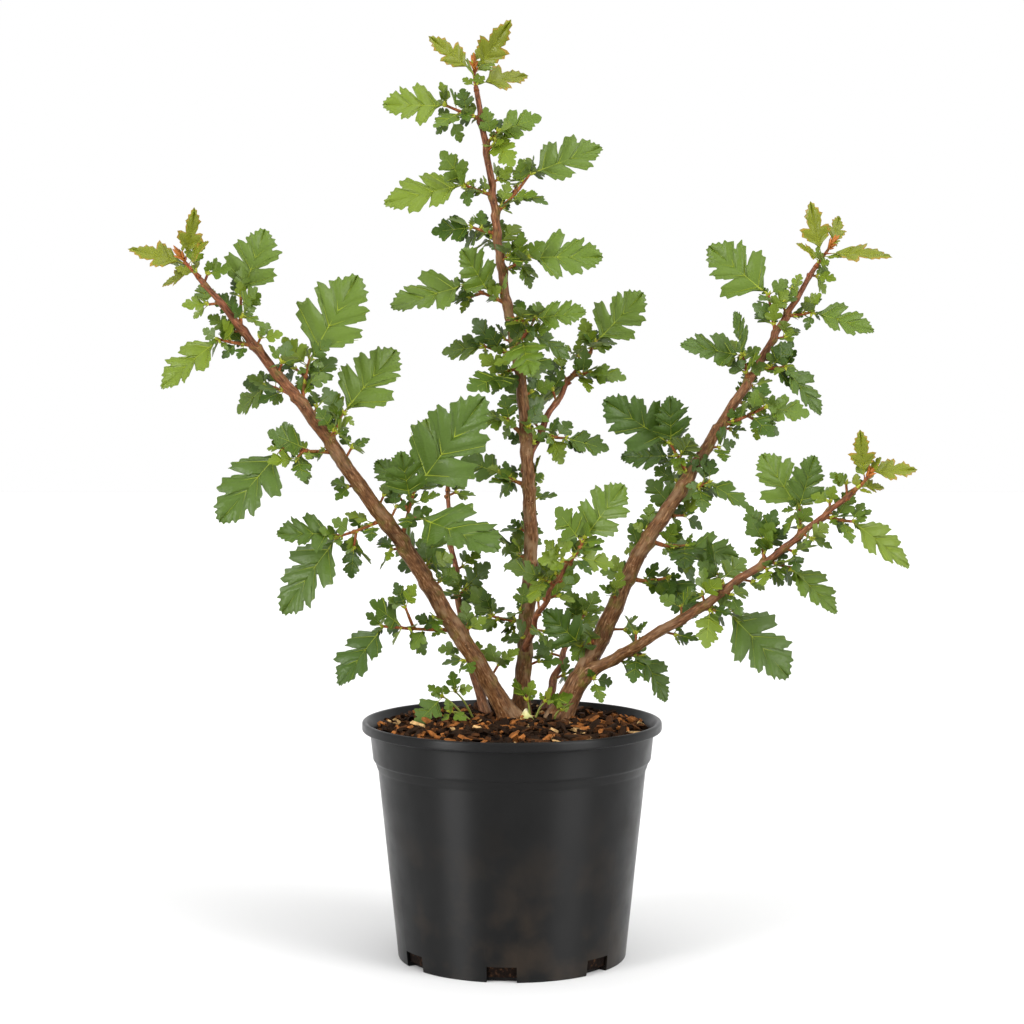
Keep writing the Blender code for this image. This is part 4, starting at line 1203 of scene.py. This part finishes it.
        low, high = COMPANION_PLACES
        count = 2 if span < FORK_FROM else 3
        for k in range(count):
            turn = math.radians(first + GOLDEN_TURN * k)
            around = across * math.cos(turn) + beyond * math.sin(turn)
            out = along * math.cos(spread) + around * math.sin(spread)
            root = start + (end - start) * (low + (high - low) * k / count)
            length = rng.uniform(*COMPANION_LENGTH)
            if count > 2 and k == 1:
                fork = root + out * span * FORK_SHARE
                self.add_twig(np.linspace(root, fork, 6), SIDE_TWIG_RADIUS, SIDE_TWIG_RADIUS * 0.75)
                self.add_tuft(fine, fork, out, 3)
                root = fork
            self.add_frame_leaf(rng, fine, known, root, math.degrees(math.atan2(out[2], out[0])),
                                math.degrees(math.asin(-out[1])), length, COMPANION_TURNS, NECK,
                                "fresh" if young else fine.choice(("deep", "dark", "green")))
        if young:
            for k in range(9):
                turn = math.radians(GOLDEN_TURN) * k
                around = across * math.cos(turn) + beyond * math.sin(turn)
                self.buds.append((end - along * 0.5 * k, unit(along + (0.1 + 0.14 * k) * around),
                                  8.0 - 0.45 * k, "red"))
            self.add_tuft(fine, end, along, 2, (8, 13), ("lime",))
            self.add_tuft(fine, start, along, 4, (8, 14), ("fresh", "lime"))
        else:
            self.add_tuft(fine, start + direction * 1.5, direction, 4)
            self.add_tuft(fine, end, along, 2)

    def grow_nodes(self, limb, places):
        """Tufts at the nodes of a limb, on alternate sides, where no twig stands near."""
        rng = random.Random(FINE_SEED + 100 + limb.index)
        count = int(limb.length / NODE_STEP)
        for k in range(1, count + 1):
            place = (k - 0.4 + rng.uniform(-0.2, 0.2)) / count
            if place > 0.985 or (place * limb.length < 14 and limb.is_stem):
                continue
            near = min((abs(place - other) * limb.length for other in places), default=math.inf)
            across, beyond = limb.frame_at(place)
            turn = math.pi * k + rng.uniform(-0.9, 0.9)
            out = across[0] * math.cos(turn) + beyond[0] * math.sin(turn)
            out = unit(out + 0.55 * limb.course(place)[0])
            if near < NODE_CLEAR:
                out = unit(out - 2 * across[0] * float(out @ across[0]))
            root = limb.axis(place)[0] + out * float(limb.radius(place)) * 0.95
            limb.bumps.append((place, out, 0.55, 3.0))
            tip = root + out * rng.uniform(1.5, 5.5)
            self.add_twig(np.linspace(root - out * 4, tip, 5), 1.05, 0.75)
            light = place > 0.78 and not limb.name.startswith("back")
            self.add_tuft(rng, tip, out, 5, tones=("green", "fresh", "fresh") if light else
                          ("deep", "dark", "dark", "green", "green", "fresh"))

    def grow(self):
        """Every mass, then the extra short twigs, then the nodes between them."""
        seed = SEED
        order = []
        for limb_name, spurs in SPURS.items():
            plain = limb_name.replace("_stem", "").replace("_bough", "")
            for k, spur in enumerate(spurs, start=1):
                young = spur[0] == 1 and limb_name in ("left_stem", "centre_stem", "right_stem", "low_right_bough")
                order.append((self.limbs[limb_name], spur, seed, f"{plain}_leaves_{k:02d}", young))
                seed += 1
        for mass in order:
            self.grow_mass(*mass)
        for limb_name, *spur in FINE_SPURS:
            self.grow_mass(self.limbs[limb_name], spur, seed, None, False)
            seed += 1
        for name, limb in self.limbs.items():
            places = [spur[0] for spur in SPURS.get(name, ())] + [s[1] for s in FINE_SPURS if s[0] == name]
            self.grow_nodes(limb, places)
        self.grow_shoots()

    def grow_shoots(self):
        """The thin green shoots that rise from the mulch round the stems, with a few leaves each."""
        rng = random.Random(FINE_SEED + 50)
        self.shoots = []
        for foot, tip, leaves in SHOOTS:
            foot, tip = np.array((*foot, MOUND_Z - 2), float), np.array(tip, float)
            share = np.linspace(0, 1, 8)[:, None]
            path = foot + (tip - foot) * share + np.sin(math.pi * share) * np.array([[0, 0, 2.5]])
            self.shoots.append(path)
            for bearing, lean, length, tone in leaves:
                self.add_fine_leaf(rng, tip, heading(bearing, lean), length, tone, spare=6)
            self.add_tuft(rng, tip, unit(tip - foot), 2, (6, 9), ("green", "fresh"))


def form_of(leaf):
    """The blade's form, by its tone and length."""
    if leaf["tone"] == "lime" and leaf["length"] >= 15:
        return "young"
    if leaf["length"] >= LARGE_FROM:
        return "large"
    return "medium" if leaf["length"] >= MEDIUM_FROM else "small"


def mixed(first, second, share):
    """A colour between two others."""
    return tuple((1 - share) * a + share * b for a, b in zip(first, second))


def make_leaves(crown):
    """All blades, one piece for each tone: the upper skin, the paler lower skin, the veins and the rim."""
    rng = random.Random(FINE_SEED + 2)
    forms = {form: [blade_form(form, rng) for _ in range(FORM_COUNT)] for form in LEAF_FORMS}
    nodes = sorted(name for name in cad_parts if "_leaves_" in name)
    for index, (tone, colour) in enumerate(LEAF_COLOURS.items()):
        groups = {}
        for number, leaf in enumerate(crown.leaves):
            if leaf["tone"] == tone:
                groups.setdefault((form_of(leaf), number % FORM_COUNT), []).append(leaf)
        skins = Bundle()
        for (form, variant), leaves in sorted(groups.items(), key=lambda item: item[0]):
            flat, faces, kinds = forms[form][variant]
            skins.add_copies(laid_out(flat, leaf_rows(leaves)), faces, kinds)
        rim = mixed(colour, BRONZE, 0.45) if tone == "lime" else shade(colour, 0.92)
        skins.piece("leaves_" + tone,
                    [leaf_green("leaf " + tone, colour, 0.42),
                     leaf_green("leaf under " + tone, mixed(colour, (0.16, 0.20, 0.06), 0.4), 0.6),
                     stalk("leaf rib " + tone, mixed(colour, (0.30, 0.35, 0.02), 0.58)),
                     leaf_green("leaf rim " + tone, rim, 0.42)],
                    "foliage", replaced=nodes[index::len(LEAF_COLOURS)], sharp=60)


def make_stalks(crown):
    """The leaves' own stalks: rings along each leaf from inside its twig to its blade, sagging as the leaf
    does, that thin out a little and widen again where the blade starts. They are red near the twig."""
    rows = leaf_rows(crown.leaves)
    sides, count = 5, 5
    share = np.linspace(0, 1, count)[None]
    x = share * (rows["neck"][:, None] + 0.05) - 0.8 / rows["length"][:, None]
    radius = (0.34 + 0.006 * rows["length"][:, None]) * (1.25 - 0.75 * np.sin(math.pi * share * 0.7))
    z = -rows["droop"][:, None] * x ** 2 * rows["length"][:, None]
    angle = np.arange(sides) * math.tau / sides
    centre = (rows["root"][:, None] + (x * rows["length"][:, None])[..., None] * rows["along"][:, None]
              + z[..., None] * rows["over"][:, None])
    ring = np.cos(angle)[:, None] * rows["side"][:, None] + np.sin(angle)[:, None] * rows["over"][:, None]
    rings = centre[:, :, None] + radius[..., None, None] * ring[:, None]
    points = np.concatenate([rings.reshape(len(crown.leaves), -1, 3), centre[:, :1], centre[:, -1:]], axis=1)
    faces = capped(count, sides)
    kinds = (faces.max(axis=1) >= 3 * sides) & (faces.max(axis=1) != count * sides)
    stalks = Bundle()
    stalks.add_copies(points, faces, kinds.astype(int))
    stalks.piece("leaf_stalks", [stalk("stalk red", STALK_RED), stalk("stalk green", STALK_GREEN)], "foliage")


def make_twigs(crown, finish):
    """All twigs: tubes with a swelling at the foot and at every few millimetres."""
    twigs = Bundle()
    ages, grains = [], []
    for path, foot_radius, end_radius in crown.twigs:
        share = np.linspace(0, 1, len(path))
        radius = foot_radius + (end_radius - foot_radius) * share
        radius = radius * (1 + 0.45 * np.exp(-(share / 0.12) ** 2) + 0.10 * np.cos(share * 19))
        points, faces = tube(path, radius, 9)
        twigs.add(points, faces)
        ages.append(np.full(len(points), 0.0))
        grains.append(points)
    twigs.piece("twigs", [finish], "bark", attributes={"age": np.concatenate(ages),
                                                       "node": 0.4 + np.concatenate(ages),
                                                       "grain": np.concatenate(grains) * MM})


def make_buds(crown):
    """Buds: rings along a short axis whose radius is a drawn-out half circle."""
    share = np.array([0.0, 0.3, 0.62, 0.88])
    swell = np.array([0.6, 1.0, 0.75, 0.28])
    angle = np.arange(5) * math.tau / 5
    for tone, colour, slim in (("green", (0.25, 0.27, 0.014), 0.25), ("red", (0.30, 0.095, 0.010), 0.19)):
        chosen = [bud for bud in crown.buds if bud[3] == tone]
        buds = Bundle()
        root = np.array([bud[0] for bud in chosen])
        out = unit([bud[1] for bud in chosen])
        length = np.array([bud[2] for bud in chosen])
        across = unit(np.cross(out, (0.31, 0.83, 0.47)))
        beyond = np.cross(out, across)
        centre = root[:, None] + (share * length[:, None])[..., None] * out[:, None]
        ring = np.cos(angle)[:, None] * across[:, None] + np.sin(angle)[:, None] * beyond[:, None]
        rings = centre[:, :, None] + (slim * length[:, None] * swell)[..., None, None] * ring[:, None]
        tip = root + out * length[:, None]
        points = np.concatenate([rings.reshape(len(chosen), -1, 3), root[:, None], tip[:, None]], axis=1)
        buds.add_copies(points, capped(len(share), 5))
        buds.piece("buds_" + tone, [stalk("bud " + tone, colour)], "foliage")


def make_foot(crown):
    """The green shoots, as thin tubes, and the pale knob at the stems' foot: rings whose radius follows a
    pear's profile, with four shallow lobes."""
    shoots = Bundle()
    for path in crown.shoots:
        shoots.add(*tube(path, np.linspace(0.85, 0.5, len(path)), 7))
    shoots.piece("green_shoots", [stalk("shoot skin", (0.15, 0.17, 0.025))], "bark")
    share = np.linspace(0, 1, 12)
    angle = np.arange(20) * math.tau / 20
    swell = (1 - share ** 2.4) ** 0.5 * (1 - 0.35 * share) + 0.12 * np.sin(math.pi * share * 2)
    radius = (KNOB_RADIUS * np.maximum(swell, 0.12))[:, None] * (1 + 0.08 * np.cos(4 * angle + 0.6))
    height = MOUND_Z - 2 + (KNOB_HEIGHT + 2) * share[:, None] + 0 * angle
    rings = np.stack([KNOB_PLACE[0] + radius * np.cos(angle), KNOB_PLACE[1] + radius * np.sin(angle),
                      height], axis=2)
    points = np.vstack([rings.reshape(-1, 3), (*KNOB_PLACE, MOUND_Z - 2), (*KNOB_PLACE, MOUND_Z + KNOB_HEIGHT)])
    finish = Finish("knob skin", Roughness=0.45, Specular_IOR_Level=0.3)
    cloud = finish.span(finish.height(), (MOUND_Z + 1) * MM, (MOUND_Z + KNOB_HEIGHT) * MM)
    finish.put("Base Color", finish.ramp(cloud, (0.0, (0.22, 0.24, 0.04)), (0.45, (0.52, 0.50, 0.22)),
                                         (1.0, (0.62, 0.56, 0.36))))
    finish.bump(finish.noise(900, 3), 0.2, 0.2)
    make_piece("root_knob", points, capped(len(rings), 20), [finish.material], "bark")


# The studio

def make_world():
    """White air all round, with two tall soft windows of light to the front left and right and a bright
    patch overhead. A window's strength runs out with the angle from its middle, and near the floor."""
    world = bpy.data.worlds.new("studio")
    world.use_nodes = True
    tree = world.node_tree
    spot = tree.nodes.new("ShaderNodeTexCoord").outputs["Generated"]

    def vector(operation, first, second=None):
        node = tree.nodes.new("ShaderNodeVectorMath")
        node.operation = operation
        tree.links.new(first, node.inputs[0])
        if second is not None:
            node.inputs[1].default_value = second
        return node.outputs["Value" if operation == "DOT_PRODUCT" else "Vector"]

    def number(operation, first, second):
        node = tree.nodes.new("ShaderNodeMath")
        node.operation = operation
        tree.links.new(first, node.inputs[0])
        if isinstance(second, float):
            node.inputs[1].default_value = second
        else:
            tree.links.new(second, node.inputs[1])
        return node.outputs[0]

    def window(source, low, high):
        node = tree.nodes.new("ShaderNodeMapRange")
        node.interpolation_type = "SMOOTHSTEP"
        tree.links.new(source, node.inputs["Value"])
        node.inputs["From Min"].default_value = low
        node.inputs["From Max"].default_value = high
        return node.outputs["Result"]

    level = vector("NORMALIZE", vector("MULTIPLY", spot, (1, 1, 0)))
    height = vector("DOT_PRODUCT", spot, (0, 0, 1))
    low = window(height, -0.15, 0.05)
    total = number("MULTIPLY", window(height, OVERHEAD_FROM, 1.0), OVERHEAD_STRENGTH)
    for azimuth, spread, strength, top in WINDOWS:
        tall = number("MULTIPLY", low, window(height, top, top - 0.2))
        turn = math.radians(azimuth)
        facing_it = vector("DOT_PRODUCT", level, (math.sin(turn), -math.cos(turn), 0))
        lobe = window(facing_it, math.cos(math.radians(spread)), math.cos(math.radians(spread * 0.35)))
        total = number("ADD", total, number("MULTIPLY", number("MULTIPLY", lobe, tall), strength))
    total = number("ADD", total, AIR_STRENGTH)
    background = tree.nodes["Background"]
    background.inputs["Color"].default_value = (1.0, 1.0, 1.0, 1.0)
    tree.links.new(total, background.inputs["Strength"])
    bpy.context.scene.world = world


def make_studio():
    """A pale floor, soft lamps from both sides and above, and the camera at the photograph's angle."""
    scene = bpy.context.scene
    scene.view_settings.view_transform = "Standard"
    floor_mesh = bpy.data.meshes.new("studio_floor")
    floor_mesh.from_pydata([(-6, -6, 0), (6, -6, 0), (6, 6, 0), (-6, 6, 0)], [], [(0, 1, 2, 3)])
    white = Finish("floor white", (FLOOR_WHITE,) * 3, Roughness=0.9, Specular_IOR_Level=0.05)
    floor_mesh.materials.append(white.material)
    floor = bpy.data.objects.new("studio_floor", floor_mesh)
    scene.collection.objects.link(floor)
    make_world()
    lamp = bpy.data.lights.new("soft key", "SUN")
    lamp.energy = KEY_STRENGTH
    lamp.angle = math.radians(KEY_SPREAD)
    holder = bpy.data.objects.new("soft key", lamp)
    holder.location = (-0.8, -0.9, 1.6)
    holder.rotation_euler = (math.radians(40), 0, math.radians(30))
    scene.collection.objects.link(holder)
    camera = bpy.data.cameras.new("camera")
    camera.lens, camera.sensor_width = 80, 36
    holder = bpy.data.objects.new("camera", camera)
    holder.location = (0, -1.45, 0.369)
    holder.rotation_euler = (math.radians(90 - 3.3), 0, 0)
    scene.collection.objects.link(holder)
    scene.camera = holder


def main():
    """Builds every piece."""
    make_studio()
    make_pot()
    make_soil()
    limbs = grow_limbs()
    make_chips(limbs)
    crown = Crown(limbs)
    crown.grow()
    print("leaves", len(crown.leaves), "missed", crown.missed, "twigs", len(crown.twigs), "buds", len(crown.buds))
    wood = bark("bark", (0.108, 0.046, 0.016), (0.128, 0.044, 0.020))
    for limb in limbs.values():
        make_limb(limb, wood)
    make_lenticels(limbs, stalk("pores", (0.25, 0.15, 0.07), 0.7))
    make_twigs(crown, bark("twig bark", (0.108, 0.046, 0.016), (0.155, 0.042, 0.012)))
    make_leaves(crown)
    make_stalks(crown)
    make_buds(crown)
    make_foot(crown)


main()
